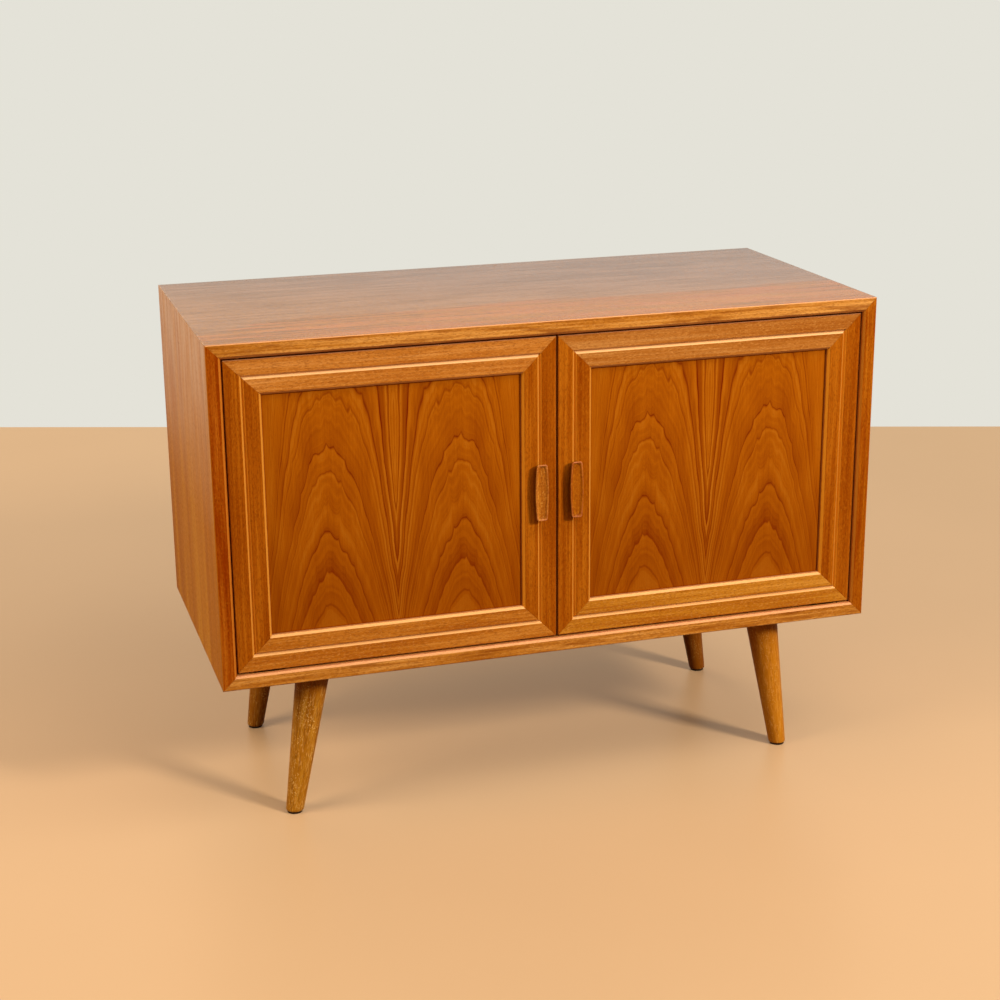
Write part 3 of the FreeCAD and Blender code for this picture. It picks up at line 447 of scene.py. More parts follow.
# mm up to the case's middle and across to a door's, half widths and heights of a door and its panel;
# the last number of an outline is how wide its line of painted shade may get
caseMiddle, doorCentre, doorHalf, panelHalf = 433, 215.3, (214.1, 204), (167.4, 157.3)
caseOutline = (0, caseMiddle, 450, 225)
openingOutline = (0, caseMiddle, 431, 206, 1.4)
teak = {
    # oiled solid teak: fine dark lines and short open pores, drawn four times as wide as real ones
    "dark": "#A45A18", "middle": "#B87026", "light": "#CA8640", "poreColour": "#7E3C08",
    "band": 18, "line": 2.6, "lineShare": 0.55, "pore": 1.2, "poreLength": 5, "poreFrom": 0.52,
    "poreShade": 0.45, "poreDepth": 0.3, "roughness": 0.3, "sheenTint": "#FFC080", "worn": 1.0,
    # the flank colours are painted highlights on the flanks of the mouldings
    "flank": "#E0AC70", "flankBelow": 0.2, "fleck": "#DC9C50", "fleckShare": 0.3,
    "grime": 0.7, "grimeColour": "#7A1E00", "gap": "#965220",
}


def toned(base, tones, **others):
    # a look with other dark, middle and light tones, and whatever else differs
    return dict(base, **dict(zip(("dark", "middle", "light"), tones.split())), **others)


# painted sheen: the bottom rails are darker than the top ones, which are painted as if lit from above; the walls of
# their gaps get painted light
teakBelow = toned(teak, "#9A4E0C #AE6416 #C07A2C", flank="#DEA260", gap="#B07034")
# painted light and shade: the right door's rails are closer in colour, its top rail darker and its bottom rail
# lighter than the left door's
teakTopRight = toned(teak, "#945014 #A76422 #B67838")
teakBelowRight = toned(teakBelow, "#A25A0E #B67219 #C8862E")
# painted sheen: the rails, whose grain runs across, are painted lighter than these stiles
teakUpright = toned(teak, "#843800 #984A04 #B0620E", poreColour="#6A2800",
                    flank="#C8822A", flankLeft="#DA8820", flankBelow=1.0, sheenTint="#FFA850", fleck="#B86C14")
lippingAcross = toned(teak, "#96520E #B47022 #D49446", flank="#D0905C",
                      outlines=(openingOutline,), stain="#7E3C08", stainShare=0.65)
# as dull as the side veneer, which continues over its outer face
lippingUpright = toned(teakUpright, "#722A00 #8A3600 #AA580E", flank="#B0661A",
                       flankLeft="#B0661A", outlines=(openingOutline,), stain="#7C2600", stainShare=0.5,
                       roughness=0.42, ior=1.25)
lippingRight = toned(lippingUpright, "#843800 #9C4E06 #B86E16")
# painted light: the gap's wall that faces up is painted lighter, as light reaches it
lippingBelow = dict(lippingAcross, gap="#B07034")
oak = {
    # lacquered oak: golden brown, with long dark pores and pale flecks
    "dark": "#985A0C", "middle": "#AE6E14", "light": "#C28626", "poreColour": "#6E3A08",
    "band": 9, "line": 1.8, "lineShare": 0.5, "pore": 1.5, "poreLength": 14, "poreFrom": 0.54,
    "poreShade": 0.5, "poreDepth": 0.5, "roughness": 0.4, "sheenTint": "#FFC88C", "worn": 1.0, "ior": 1.35,
    "fleck": "#D8A050", "fleckShare": 0.5,
}
crown = {
    # flat-cut veneer in two mirrored leaves, in mm, with nested arches
    "middle": 88, "halfLeaf": 80, "centreZ": 430, "halfRise": 160, "soften": 0.05,
    "sides": (-3, 191, 59), "fan": (15, -46, 10), "peak": (60, -13, -45),
    "waver": 4.0, "waverAcross": 34, "waverAlong": 90,
    # the arches break into points: how deep, how far apart, and how they fade
    "points": 27, "pointAcross": 16, "pointAlong": 80, "pointsFade": (0.03, 0.5), "pointsLeast": 0.25,
    "pointsMean": 0.15,
    # close to the seam the lines rise along it: how far, and from how far off
    "seamRise": 38, "seamWidth": 36,
    # heights that the tones span, the plain tone, how thick a ring's line is and how dark its shade starts
    "lowest": 262, "highest": 760, "plain": 0.56, "lineWidth": 3.2, "shadeStart": 0.45,
    # growth rings: the height of the dark line, how dark it is, and how far its shade runs up
    "rings": ((306, 0.45, 6), (350, 0.8, 11), (404, 0.6, 8), (442, 0.24, 4), (484, 0.38, 7), (517, 0.6, 9),
              (584, 0.34, 5), (613, 0.56, 8), (646, 0.44, 8), (690, 0.42, 9)),
    # pale bands between them: height, strength and width
    "pales": ((286, 0.1, 14), (435, 0.1, 9), (601, 0.08, 8)),
    # faint rings between the drawn ones
    "faint": 9.0, "faintShare": 0.075, "cloud": 0.14,
    # broader streaks run along the seam
    "streak": 15.0, "streakShare": 0.3,
    "dark": "#681400", "ground": "#A25404", "light": "#BE741A", "poreColour": "#7E3402",
    "grime": 0.7, "grimeColour": "#6E1600", "gap": "#965220",
    # painted shade: from the first height down to the second the panel darkens, up to this share, towards this colour
    "shadeZ": (520, 290), "shadeBelow": 0.42, "shadeColour": "#7C3600",
    "pore": 0.9, "poreLength": 9, "poreFrom": 0.58, "poreShade": 0.35, "poreDepth": 0.2,
    "roughness": 0.32, "sheenTint": "#FFA850", "worn": 0.7,
}


def ringStops(look):
    # tone up the arches: pale, then a sharp dark line whose shade fades upwards
    def toneAt(height):
        tone = look["plain"]
        for line, depth, fade in look["rings"]:
            if line - wide < height <= line:
                tone -= depth * (height - line + wide) / wide
            elif line < height < line + fade:
                tone -= depth * look["shadeStart"] * (1 - (height - line) / fade)
        for line, lift, half in look["pales"]:
            tone += lift * max(0, 1 - abs(height - line) / half)
        return max(0.0, min(1.0, tone))

    wide, low, high = (look[key] for key in ("lineWidth", "lowest", "highest"))
    heights = {low, high} | {line for line, _, _ in look["pales"]}
    for line, _, _ in look["rings"]:
        heights |= {line - wide, line, line + 2}
    # a ramp holds 32 stops, and the highest ones can go
    return [((at - low) / (high - low), [toneAt(at)] * 3 + [1]) for at in sorted(heights)[:32]]


def crownVeneer(name, look, seam, drop=0.0):
    # book-matched crown grain: nested arches that mirror at the seam
    material, tree, calc = newMaterial(name)
    place = parts(tree, grainSpace(tree, shift=(-seam, 0, drop)))
    away = calc("ABSOLUTE", place["X"])
    leaf = vector(tree, away, place["Y"], place["Z"])
    waver = streaks(tree, leaf, look["waverAcross"], look["waverAlong"], 2.0)
    points = streaks(tree, leaf, look["pointAcross"], look["pointAlong"], 1.0, 0.5)
    side = calc("*+", waver, 2 * look["waver"], away)
    side = calc("*+", side, 1 / look["halfLeaf"], -(look["middle"] + look["waver"]) / look["halfLeaf"])
    rise = calc("*+", place["Z"], 1 / look["halfRise"], -look["centreZ"] / look["halfRise"])
    square = calc("*", side, side)
    powers = vector(tree, side, square, calc("*", square, side))
    spread = calc("*+", dotProduct(tree, powers, look["fan"]), rise,
                  dotProduct(tree, powers, look["sides"]))
    blunt = calc("-", calc("POWER", calc("+", square, look["soften"] ** 2), 0.5), look["soften"])
    steep = calc("*+", rise, look["peak"][2], look["peak"][1])
    steep = calc("*+", steep, rise, look["peak"][0])
    level = calc("*+", blunt, steep, spread)
    level = calc("+", level, place["Z"])
    beside = steps(tree, away, look["seamWidth"], 0)
    level = calc("*+", calc("*", beside, beside), look["seamRise"], level)
    ridge = calc("ABSOLUTE", calc("*+", points, 2, -1))
    ridge = calc("*", ridge, steps(tree, square, *look["pointsFade"], 1, look["pointsLeast"]))
    level = calc("*+", ridge, look["points"], level)
    level = calc("-", level, look["points"] * look["pointsMean"])

    def ringNoise(length, low, high, share):
        # tone that follows the rings, so many mm apart
        noise = addNode(tree, "TexNoise", {"W": calc("*", level, 1 / length), "Scale": 1.0,
                                           "Detail": 2.0}, noise_dimensions="1D")
        return steps(tree, noise, low, high, -share, share)

    tone = ramp(tree, steps(tree, level, look["lowest"], look["highest"]), ringStops(look))
    tone = calc("+", tone, ringNoise(look["faint"], 0.3, 0.7, look["faintShare"]))
    tone = calc("*+", ringNoise(look["streak"], 0.35, 0.65, look["streakShare"]), beside, tone)
    grey = mixed(tree, 0.45, streaks(tree, leaf, 22, 120, 2.0), streaks(tree, leaf, 2.2, 90))
    tone = calc("+", tone, steps(tree, grey, 0.3, 0.7, -look["cloud"], look["cloud"]))
    wood = ramp(tree, tone, [(0.05, look["dark"]), (look["plain"], look["ground"]), (0.95, look["light"])])
    # painted shade: darker towards the panel's bottom
    low = steps(tree, place["Z"], *look["shadeZ"], 0, look["shadeBelow"])
    wood = blend(tree, low, wood, look["shadeColour"])
    finishWood(tree, *withPores(tree, leaf, wood, look), look)
    return material


def metalMaterial(name, code, roughness, brush):
    # metal with fine brush marks so many mm apart
    material, tree, _ = newMaterial(name)
    marks = streaks(tree, grainSpace(tree), brush, brush * 30, 2.0)
    gloss = steps(tree, marks, 0, 1, roughness - 0.08, roughness + 0.12)
    colour = scaled(tree, code, steps(tree, marks, 0, 1, 0.86, 1.05))
    surface(tree, addNode(tree, "BsdfPrincipled", {"Base Color": colour, "Metallic": 1.0, "Roughness": gloss}))
    return material


def mattMaterial(name, codes, grain, roughness, bump):
    # matt surface with a grain so many mm across
    material, tree, _ = newMaterial(name)
    speck = streaks(tree, grainSpace(tree), grain, grain)
    colour = ramp(tree, speck, [(0.35, codes[0]), (0.65, codes[1])])
    height = addNode(tree, "Bump", {"Height": speck, "Strength": bump, "Distance": 0.0003})
    surface(tree, addNode(tree, "BsdfPrincipled", {"Base Color": colour, "Roughness": roughness, "Normal": height}))
    return material


alongX = (0, -90, 0)
alongY = (90, 0, 0)
plain = {key: value for key, value in teak.items() if not key.startswith(("flank", "fleck"))}
topZones = {
    # mm along Y of the line between dull back and warm front, and its bend at the left end
    "line": (-85, -71), "bend": (-300, -430, 0, 60), "waver": ((210, 30, 30), 4.0, 0.6, 0.3, 0.7, -17, 17),
    "warm": "#A84E34", "warmClouds": ((120, 22, 22), 3.0, 0.6, 0.38, 0.62, 0, 0.5),
    "dull": "#866458", "dullShare": 0.8, "mauve": "#5C342C",
    "mauveClouds": ((130, 26, 26), 4.0, 0.6, 0.42, 0.64, 0, 0.6),
    # thin streaks, more of them to the left and weaker at the back
    "streak": "#44180A", "thin": ((190, 9, 9), 4.0, 0.6), "moreLeft": (0, -350, 0, 0.08),
    "warmStreaks": (0.52, 0.68, 0, 0.8), "dullStreaks": (0.5, 0.66, 0, 0.5),
}
veneerTop = toned(plain, "#7A3E12 #8C4E1C #9E6028", poreColour="#643010", band=34, line=5.0,
                  lineShare=0.4, roughness=0.1, patchy=0.09, sheenTint="#FFE0C0",
                  knocked=knocks, knockedColour="#E0B088")
veneerSide = toned(plain, "#A65E0C #B76F14 #C78422", band=38, line=4.0, lineShare=0.4,
                   roughness=0.42, sheenTint="#FFB878", ior=1.25, knocked=knocks, knockedColour="#DCAC7C")
# mm up between which the sides turn pale with a painted reflection, and its streaks
sideZones = {"high": (400, 650), "pale": "#CCA885", "streaks": ((14, 14, 110), 4.0, 0.6, 0.36, 0.64, 0.15, 0.75)}
inside = toned(plain, "#9A5418 #B06A2E #C4844A", band=26, line=3.5, lineShare=0.4, roughness=0.45)
# the sides' inner faces are as dull as their outer ones
insideUpright = dict(inside, sheenTint="#FFB878", ior=1.25)
ply = toned(plain, "#A8824E #C4A06A #D6B684", poreColour="#94703E", band=22, roughness=0.6, sheenTint="#FFFFFF")


def topTones(tree, colour):
    # a warm streaky front and a dull back with mauve clouds
    calc, space, zones = mathIn(tree), grainSpace(tree), topZones
    place = parts(tree, space)
    away = calc("+", place["Y"], clouds(tree, space, *zones["waver"]))
    away = calc("+", away, steps(tree, place["X"], *zones["bend"]))
    front = blend(tree, clouds(tree, space, *zones["warmClouds"]), colour, zones["warm"])
    dull = blend(tree, zones["dullShare"], colour, zones["dull"])
    dull = blend(tree, clouds(tree, space, *zones["mauveClouds"]), dull, zones["mauve"])
    thin = calc("+", longNoise(tree, space, *zones["thin"]), steps(tree, place["X"], *zones["moreLeft"]))
    front = blend(tree, steps(tree, thin, *zones["warmStreaks"]), front, zones["streak"])
    dull = blend(tree, steps(tree, thin, *zones["dullStreaks"]), dull, zones["streak"])
    return wornCorners(tree, blend(tree, steps(tree, away, *zones["line"]), front, dull), veneerTop)


def sideTones(tree, colour):
    # painted reflection: pale streaks run down the sides from their top edge
    space, zones = grainSpace(tree), sideZones
    high = steps(tree, parts(tree, space)["Z"], *zones["high"])
    share = mathIn(tree)("*", high, clouds(tree, space, *zones["streaks"]))
    return wornCorners(tree, blend(tree, share, colour, zones["pale"]), veneerSide)


def setMaterial(material, *names):
    for name in names:
        for slot in nodes[name].material_slots:
            slot.material = material


def dressCarcass():
    setMaterial(straightWood("teak veneer, top", veneerTop, alongX, change=topTones), "top_panel")
    setMaterial(straightWood("teak veneer, bottom", veneerTop, alongX, (310, 40, 0)), "bottom_panel")
    above = {"way": (0, 0, 1), "look": veneerTop, "space": (alongX,), "tones": topTones}
    leftwards = {"way": (-1, 0, 0), "look": veneerSide, "space": (), "tones": sideTones}
    rightwards = {"way": (1, 0, 0), "look": veneerSide, "space": ((0, 0, 0), (0, 300, 90)), "tones": sideTones}
    setMaterial(straightWood("teak veneer, left side", insideUpright, skin=leftwards), "side_panel_left")
    setMaterial(straightWood("teak veneer, right side", insideUpright, shift=(0, 300, 90), skin=rightwards),
                "side_panel_right")
    for side, look, turn, shift, skin in (
            ("top", lippingAcross, alongX, (0, 70, 0), above),
            ("bottom", lippingBelow, alongX, (0, 170, 0), None),
            ("left", lippingUpright, (0, 0, 0), (0, 270, 0), leftwards),
            ("right", lippingRight, (0, 0, 0), (0, 370, 0), rightwards)):
        setMaterial(straightWood("solid teak, %s lipping" % side, look, turn, shift, skin=skin),
                    "front_lipping_" + side)
    setMaterial(straightWood("teak veneer, shelves", inside, alongX), "shelf_left", "shelf_right")
    setMaterial(straightWood("teak veneer, divider", inside), "centre_divider")
    setMaterial(straightWood("sanded birch plywood", ply, alongX), "back_panel")
    setMaterial(straightWood("beech splines", ply, alongY), "mitre_splines")


def dressDoor(side, sign):
    prefix = "door_" + side + "_"
    seam = sign * doorCentre
    panelEdge = (seam, caseMiddle, *panelHalf)
    # lines of painted shade along the door's edge and around its panel
    outlines = ((seam, caseMiddle, *doorHalf, 1.5), (*panelEdge, 1.1))
    above, below = (teak, teakBelow) if sign < 0 else (teakTopRight, teakBelowRight)
    for part, look in (("top", above), ("bottom", below)):
        setMaterial(straightWood("solid teak, %s door %s rail" % (side, part), dict(look, outlines=outlines),
                                 alongX, (0, 50 * sign, 0)), prefix + "rail_" + part)
    setMaterial(straightWood("solid teak, %s door stiles" % side, dict(teakUpright, outlines=outlines),
                             shift=(0, 30 * sign, 60)), prefix + "stile_hinge", prefix + "stile_meeting")
    panel = dict(crown, outlines=((*panelEdge, 1.3),))
    setMaterial(crownVeneer("crown-cut teak veneer, %s door" % side, panel, seam, -5 if sign > 0 else 0),
                prefix + "panel")
    setMaterial(straightWood("beech keys, " + side, ply), prefix + "mitre_keys")


def dressFittings():
    brass = metalMaterial("brushed brass", "#A07C40", 0.4, 0.5)
    steel = metalMaterial("zinc-plated steel", "#A6A6A8", 0.4, 0.5)
    plastic = mattMaterial("brown moulded plastic", ("#4A2E1C", "#5A3A26"), 1.2, 0.55, 0.3)
    magnet = mattMaterial("ferrite magnet", ("#2A2A2C", "#3A3A3C"), 0.8, 0.5, 0.3)
    felt = mattMaterial("pressed felt", ("#281A10", "#40301E"), 0.7, 0.95, 0.8)
    setMaterial(brass, "hinge_pins", "hinge_washers", "shelf_pins", "carcass_screws")
    setMaterial(steel, "back_screws", "leg_plates", "leg_plate_screws", "hanger_bolts")
    for side, _ in doorSides:
        setMaterial(brass, "door_%s_screws" % side, *("hinge_leaf_%s_%s_%s" % (on, side, end)
                                                      for on in ("carcass", "door") for end in ("top", "bottom")))
        setMaterial(steel, "door_%s_pull_screws" % side, "door_%s_strike_plate" % side)
    setMaterial(plastic, "catch_left", "catch_right")
    setMaterial(magnet, "catch_magnets")
    setMaterial(felt, "foot_glides")


dressCarcass()
for side, sign in doorSides:
    dressDoor(side, sign)
dressFittings()
print("materials set on the frame")


# Pulls: a carved block with bowed sides, an undercut foot, a rounded rim and a dished face

pullLook = {
    "middle": 18.0, "end": 14.0, "length": 76.0, "points": 96, "crowding": 1.25, "endsOnly": 6,
    # from the foot over the rim into the dish: how far in from the outline, how far out of the door, the
    # radius of the corners, and how pale with wear and painted highlight (below zero: how dark with painted shade) at
    # the sides and at the ends
    "section": ((3.0, 0.0, 3.0, -1.6, -1.6), (2.3, 2.2, 3.0, -1.6, -1.6), (1.5, 4.6, 1.5, -1.6, -1.6),
                (0.8, 6.8, 2.2, -1.6, -1.6), (0.3, 8.6, 2.7, 0, 0), (0.05, 9.8, 2.95, 0, 0),
                (0.1, 10.4, 2.9, 0.075, 0.25), (0.4, 10.8, 2.6, 0.225, 0.75), (0.9, 11.0, 2.1, 0.3, 1),
                (1.4, 10.9, 1.6, 0.2625, 0.875), (1.9, 10.5, 1.1, 0.1125, 0.375), (2.6, 9.8, 5.5, -0.2, -1),
                (3.4, 9.1, 5.5, -0.2, -1), (4.3, 8.75, 5.5, 0, 0), (5.4, 8.6, 5.5, 0, 0), (6.4, 8.55, 5.5, 0, 0)),
}


def bowedRing(look, inset, out, corner):
    # the pull's outline at one height above the door, as (across, out, up) in mm
    half, middle, end = (look[key] / 2 - inset for key in ("length", "middle", "end"))
    corner = min(corner, end, half)
    ring = []
    for step in range(look["points"]):
        angle = 2 * math.pi * (step + 0.5) / look["points"]
        # points crowd towards the ends, where the outline turns
        up = math.sin(angle)
        up = half * math.copysign(1 - (1 - abs(up)) ** look["crowding"], up)
        side = end + (middle - end) * (1 - (up / half) ** 2)
        past = abs(up) - (half - corner)
        if past > 0:
            side -= corner - math.sqrt(max(corner ** 2 - past ** 2, 0))
        ring.append((math.copysign(side, math.cos(angle)), -out, up))
    return ring


def makePull(side, look, material):
    name = "door_%s_pull" % side
    low, high = (Vector(corner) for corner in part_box(name))
    centre = Vector(((low.x + high.x) / 2, high.y, (low.z + high.z) / 2))
    build = bmesh.new()
    rubbed = build.verts.layers.float.new("rubbed")
    rings = []
    for inset, out, corner, atSides, atEnds in look["section"]:
        ring = []
        for place in bowedRing(look, inset, out, corner):
            vertex = build.verts.new(centre + Vector(place) / 1000)
            ends = min(1.0, abs(place[2]) * 2 / look["length"]) ** look["endsOnly"]
            vertex[rubbed] = atSides + (atEnds - atSides) * ends
            ring.append(vertex)
        rings.append(ring)
    count = look["points"]
    for lower, upper in zip(rings, rings[1:]):
        for step in range(count):
            after = (step + 1) % count
            build.faces.new((lower[step], lower[after], upper[after], upper[step]))
    build.faces.new(rings[0][::-1])
    build.faces.new(rings[-1])
    mesh = builtMesh(name + "_carved", build)
    mesh.polygons.foreach_set("use_smooth", [True] * len(mesh.polygons))
    piece = newObject(name + "_carved", mesh, material)
    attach(piece, "door_" + side)
    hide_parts(name)


def pullWood(name, look, shift):
    # teak whose rim is pale in places, worn by hands and with a painted highlight; painted shade darkens the undercut
    # foot and the dish's edge
    def rub(tree, colour):
        rubbed = addNode(tree, "Attribute", attribute_name="rubbed").outputs["Fac"]
        cloud = clouds(tree, grainSpace(tree), *look["rubbedClouds"])
        share = mathIn(tree)("*", steps(tree, rubbed, *look["rubbed"]), cloud)
        colour = blend(tree, share, colour, look["rubbedColour"])
        return blend(tree, steps(tree, rubbed, *look["grimy"]), colour, look["grimeColour"])
    return straightWood(name, look, shift=shift, change=rub)


carved = toned(plain, "#924E0C #AC6214 #C47C26", poreColour="#7A3204", band=6, line=1.6,
               pore=1.8, poreLength=3.5, poreShade=0.5, roughness=0.36, sheenTint="#FFC8A0",
               fleck="#DC9C42", fleckShare=0.5, rubbedColour="#CC7E56", grimeColour="#4E1200",
               rubbed=(0.1, 1.0, 0, 0.8), rubbedClouds=((4, 4, 6), 3.0, 0.55, 0.35, 0.65, 0.2, 1.0),
               grimy=(-0.1, -1.6, 0, 0.85))
# the right one is darker and redder
carvedRight = toned(carved, "#823C00 #9A4D04 #AF6308", fleck="#C57C18")
for (side, sign), look in zip(doorSides, (carved, carvedRight)):
    makePull(side, pullLook, pullWood("teak pull, " + side, look, (40 * sign, 0, 0)))
print("pulls carved")


# Legs: turned and leaning, drawn by Geometry Nodes from a few sizes

legSizes = {
    # metres along the axis from the top face; the sole is cut level with the floor
    "Top radius": 0.0225, "Foot radius": 0.0115, "Taper length": 0.20665, "Drop": 0.197, "Edge": 0.0015,
}
# painted shade: the red under the case and on the back legs
legLook = {"red": "#6E2E02", "redTop": 0.55, "redBack": 0.45, "underCase": (160, 190), "speck": "#E8BC68",
           "specks": ((2, 2, 2.6), 2.0, 0.55, 0.57, 0.63, 0, 0.6),
           "patches": ((16, 16, 30), 2.0, 0.55, 0.44, 0.56, 0.1, 1.0),
           # the right legs are less worn, the front one warmer, and the back one darker with painted shade
           "rightSpecks": 0.35, "warm": "#D07A12", "warmShare": 0.4, "rightRed": 1.7}
# metres: how far a leg spreads over its height, that height, how far out it starts under the case, and
# how far below that its top face lies
legSpread, legHeight, legStart, legInset = 0.034, 0.208, 0.321, 0.008
legLean = math.atan(legSpread / legHeight)


def turnedLeg():
    group, given, calc = newGroup("turnedLeg", **{
        "Top centre": "Vector", "Lean": "Float", "Grain start": "Vector", **dict.fromkeys(legSizes, "Float"),
        "Wood": "Material"})

    def rounding(distance):
        # how far a rounded edge has fallen away at this distance from the end
        near = steps(group, distance, 0.0, given["Edge"], 1.0, 0.0)
        root = calc("SQRT", calc("-", 1.0, calc("*", near, near)))
        return calc("*", given["Edge"], calc("-", 1.0, root))

    tube = addNode(group, "GeometryNodeMeshCylinder", {"Vertices": 72, "Side Segments": 36, "Radius": 1.0,
                                                       "Depth": 1.0})
    at = parts(group, addNode(group, "GeometryNodeInputPosition"))
    turn = calc("*", calc("-", 0.5, at["Z"]), math.pi)
    along = calc("*+", calc("COSINE", turn), -0.5, 0.5)
    cosine, sine = calc("COSINE", given["Lean"]), calc("SINE", given["Lean"])
    # the sole lies level, so one side of the leg runs further down
    soleRadius = calc("-", given["Foot radius"], given["Edge"])
    lift = calc("*", calc("*", soleRadius, at["X"]), sine)
    reach = calc("DIVIDE", calc("+", given["Drop"], lift), cosine)
    down = calc("*", along, reach)
    radius = steps(group, down, 0.0, given["Taper length"], given["Top radius"], given["Foot radius"], clamp=False)
    radius = calc("-", radius, rounding(down))
    radius = calc("-", radius, rounding(calc("-", reach, down)))
    across, deep = calc("*", radius, at["X"]), calc("*", radius, at["Y"])
    x = calc("+", calc("*", across, cosine), calc("*", down, sine))
    z = calc("-", calc("*", across, sine), calc("*", down, cosine))
    place = addNode(group, "VectorMath", {0: vector(group, x, deep, z), 1: given["Top centre"]}, operation="ADD")
    own = addNode(group, "VectorMath", {0: vector(group, across, deep, down), 1: (1000, 1000, 1000),
                                        2: given["Grain start"]}, operation="MULTIPLY_ADD")
    kept = addNode(group, "GeometryNodeStoreNamedAttribute", {"Geometry": tube.outputs["Mesh"], "Name": "grain",
                                                              "Value": own.outputs[0]}, data_type="FLOAT_VECTOR")
    moved = addNode(group, "GeometryNodeSetPosition", {"Geometry": kept, "Position": place.outputs[0]})
    smooth = addNode(group, "GeometryNodeSetShadeSmooth", {"Geometry": moved, "Shade Smooth": True})
    dressed = addNode(group, "GeometryNodeSetMaterial", {"Geometry": smooth, "Material": given["Wood"]})
    addNode(group, "NodeGroupOutput", {"Geometry": dressed})
    return group


def plainMesh(name, group, values, seedMesh=None):
    # runs a node group once and keeps what it makes as an ordinary mesh
    start = newObject(name + "_start", seedMesh or bpy.data.meshes.new(name + "_start"))
    modifier = start.modifiers.new("shape", "NODES")
    modifier.node_group = group
    for item in group.interface.items_tree:
        if item.in_out == "INPUT" and item.name in values:
            modifier[item.identifier] = values[item.name]
    graph = bpy.context.evaluated_depsgraph_get()
    graph.update()
    made = bpy.data.meshes.new_from_object(start.evaluated_get(graph))
    start.modifiers.clear()
    bpy.data.objects.remove(start)
    made.name = name
    return made


def makeLegs():
    wood = straightWood("lacquered oak, turned", oak, space=legGrain, change=legTones)
    group = turnedLeg()
    for end in ("front", "back"):
        for side, sign in doorSides:
            name = "leg_%s_%s" % (end, side)
            low, high = (Vector(corner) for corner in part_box(name))
            top = Vector((sign * (legStart + legSpread * legInset / legHeight), (low.y + high.y) / 2,
                          legHeight - legInset))
            start = (30.0 * sign, 60.0 if end == "back" else 0.0, 200.0 * sign)
            mesh = plainMesh(name + "_turned", group, dict(legSizes, **{
                "Top centre": top, "Lean": sign * legLean, "Grain start": start, "Wood": wood}))
            piece = newObject(name + "_turned", mesh)
            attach(piece, "carcass")
            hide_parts(name)


def legGrain(tree):
    # coordinates along each leg's leaning axis, kept on its mesh in mm
    return addNode(tree, "Attribute", attribute_name="grain").outputs["Vector"]


def legTones(tree, colour):
    # painted shade in a dark red under the case and on the back legs, with specks where the lacquer is worn through
    calc, space, look = mathIn(tree), grainSpace(tree), legLook
    place = parts(tree, space)

    def between(axis, start, end, low=-100, high=100):
        return steps(tree, place[axis], low, high, start, end)

    back = calc("*", between("Y", 0, look["redBack"]), between("X", 1, look["rightRed"]))
    share = calc("*", between("Y", look["warmShare"], 0), between("X", 0, 1))
    colour = blend(tree, share, colour, look["warm"])
    high = between("Z", 0, look["redTop"], *look["underCase"])
    colour = blend(tree, calc("MAXIMUM", high, back), colour, look["red"])
    share = calc("*", clouds(tree, space, *look["specks"]), clouds(tree, space, *look["patches"]))
    share = calc("*", share, between("X", 1, look["rightSpecks"]))
    return blend(tree, share, colour, look["speck"])


makeLegs()
print("legs turned")


# Screws: slotted flat heads, set by Geometry Nodes where the frame has its plain ones

def screwPattern():
    # a screw of unit radius pointing along +Z: the head's cone up to 1, then the shank up to 2
    build = bmesh.new()
    slot, deep, sideSteps, head, shank, taper = 0.2, 0.45, 9, 2.0, 1.0, 1.8
    edge = math.asin(slot / head)
    rim, neck, end = [], [], []
    for turn in (0, math.pi):
        for step in range(sideSteps):
            angle = turn + edge + (math.pi - 2 * edge) * step / (sideSteps - 1)
            for ring, radius, height in ((rim, head, 0), (neck, shank, 1), (end, shank, taper)):
                ring.append(build.verts.new((radius * math.cos(angle), radius * math.sin(angle), height)))
    tip = build.verts.new((0, 0, 2))
    reach = math.sqrt((head - deep) ** 2 - slot ** 2)
    floor = [build.verts.new((x * reach, y * slot, deep)) for x, y in ((1, 1), (-1, 1), (-1, -1), (1, -1))]
    count = 2 * sideSteps
    for half, corners in ((rim[:sideSteps], floor[1::-1]), (rim[sideSteps:], floor[:1:-1])):
        build.faces.new(half[::-1])
        build.faces.new((half[0], half[-1], *corners))
    build.faces.new(floor)
    # the slot's two ends cut into the cone
    slotEnds = {sideSteps - 1: floor[1:3], count - 1: (floor[3], floor[0])}
    for step in range(count):
        after = (step + 1) % count
        build.faces.new((rim[step], *slotEnds.get(step, ()), rim[after], neck[after], neck[step]))
        build.faces.new((neck[step], neck[after], end[after], end[step]))
        build.faces.new((end[step], end[after], tip))
    return builtMesh("screwPattern", build)


def screwPlaces(name):
    # where each plain screw of a node has its head, and the way it points
    build = bmesh.new()
    build.from_mesh(nodes[name].data)
    bmesh.ops.remove_doubles(build, verts=build.verts, dist=1e-6)
    build.verts.ensure_lookup_table()
    places, seen = [], set()
    for vertex in build.verts:
        if vertex in seen:
            continue
        island, queue = [], [vertex]
        seen.add(vertex)
        while queue:
            here = queue.pop()
            island.append(here.co.copy())
            for edge in here.link_edges:
                other = edge.other_vert(here)
                if other not in seen:
                    seen.add(other)
                    queue.append(other)
        low, high = (Vector([pick(point[i] for point in island) for i in range(3)]) for pick in (min, max))
        axis = max(range(3), key=lambda i: high[i] - low[i])
        middle = (low + high) / 2
        wide = {}
        for end in (low[axis], high[axis]):
            wide[end] = max((point - middle - (point - middle)[axis] * Vector([i == axis for i in range(3)])).length
                            for point in island if abs(point[axis] - end) < 1e-5)
        head = max(wide, key=wide.get)
        way = Vector((0, 0, 0))
        way[axis] = 1 if head == low[axis] else -1
        middle[axis] = head
        places.append((middle, way, wide[head], high[axis] - low[axis]))
    build.free()
    return places


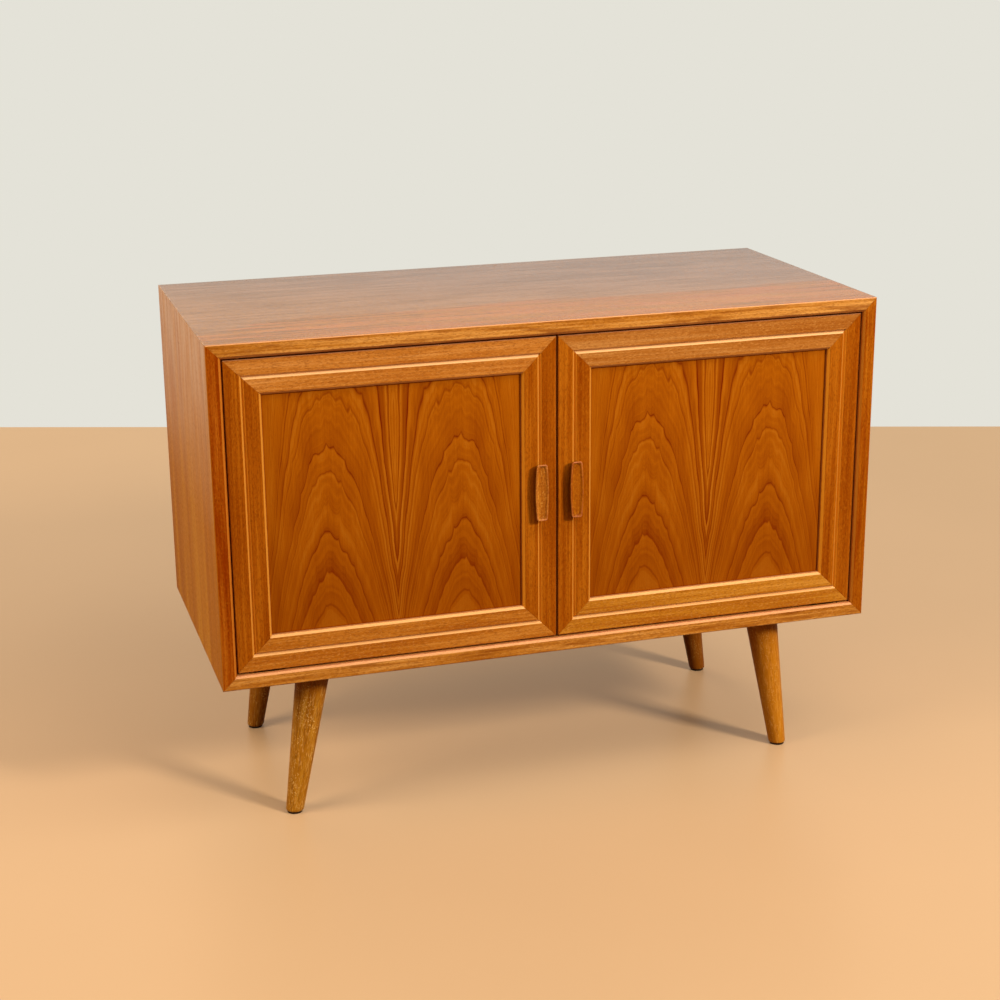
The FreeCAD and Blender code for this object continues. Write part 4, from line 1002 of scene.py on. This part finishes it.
def screwsInPlace():
    group, given, calc = newGroup("screwsInPlace", Screw="Object", Radius="Float", Length="Float", Seed="Int",
                                  Metal="Material")
    pattern = addNode(group, "GeometryNodeObjectInfo", {"Object": given["Screw"]})
    at = parts(group, addNode(group, "GeometryNodeInputPosition"))
    cone = calc("*", calc("MINIMUM", at["Z"], 1.0), given["Radius"])
    past = calc("MAXIMUM", calc("-", at["Z"], 1.0), 0.0)
    shank = calc("*", past, calc("-", given["Length"], given["Radius"]))
    place = vector(group, calc("*", at["X"], given["Radius"]), calc("*", at["Y"], given["Radius"]),
                   calc("+", cone, shank))
    sized = addNode(group, "GeometryNodeSetPosition", {"Geometry": pattern.outputs["Geometry"], "Position": place})
    way = addNode(group, "GeometryNodeInputNamedAttribute", {"Name": "way"}, data_type="FLOAT_VECTOR")
    faced = addNode(group, "FunctionNodeAlignRotationToVector", {"Vector": way}, axis="Z")
    spin = addNode(group, "FunctionNodeRandomValue", {"Seed": given["Seed"]}, data_type="FLOAT")
    spin.inputs[2].default_value, spin.inputs[3].default_value = 0.0, math.pi
    turned = addNode(group, "FunctionNodeRotateRotation", {"Rotation": faced, "Rotate By": vector(group, 0, 0, spin)},
                     rotation_space="LOCAL")
    screws = addNode(group, "GeometryNodeInstanceOnPoints", {"Points": given["Geometry"], "Instance": sized,
                                                             "Rotation": turned})
    real = addNode(group, "GeometryNodeRealizeInstances", {"Geometry": screws})
    dressed = addNode(group, "GeometryNodeSetMaterial", {"Geometry": real, "Material": given["Metal"]})
    addNode(group, "NodeGroupOutput", {"Geometry": dressed})
    return group


def makeScrews():
    pattern = newObject("screwPattern", screwPattern())
    group = screwsInPlace()
    metals = {"brass": "brushed brass", "steel": "zinc-plated steel"}
    for seed, (name, body, slotName) in enumerate((
            ("back_screws", "carcass", "steel"), ("carcass_screws", "carcass", "brass"),
            ("leg_plate_screws", "carcass", "steel"), ("door_left_screws", "door_left", "brass"),
            ("door_right_screws", "door_right", "brass"), ("door_left_pull_screws", "door_left", "steel"),
            ("door_right_pull_screws", "door_right", "steel"))):
        places = screwPlaces(name)
        points = bpy.data.meshes.new(name + "_points")
        points.from_pydata([place for place, _, _, _ in places], [], [])
        ways = points.attributes.new("way", "FLOAT_VECTOR", "POINT")
        for index, (_, way, _, _) in enumerate(places):
            ways.data[index].vector = way
        mesh = plainMesh(name + "_slotted", group, {"Screw": pattern, "Radius": places[0][2] / 2,
                                                    "Length": places[0][3], "Seed": seed,
                                                    "Metal": bpy.data.materials[metals[slotName]]}, points)
        piece = newObject(name + "_slotted", mesh)
        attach(piece, body)
        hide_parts(name)
        print(name, len(places), "screws", len(mesh.polygons), "faces")
    bpy.data.objects.remove(pattern)


makeScrews()
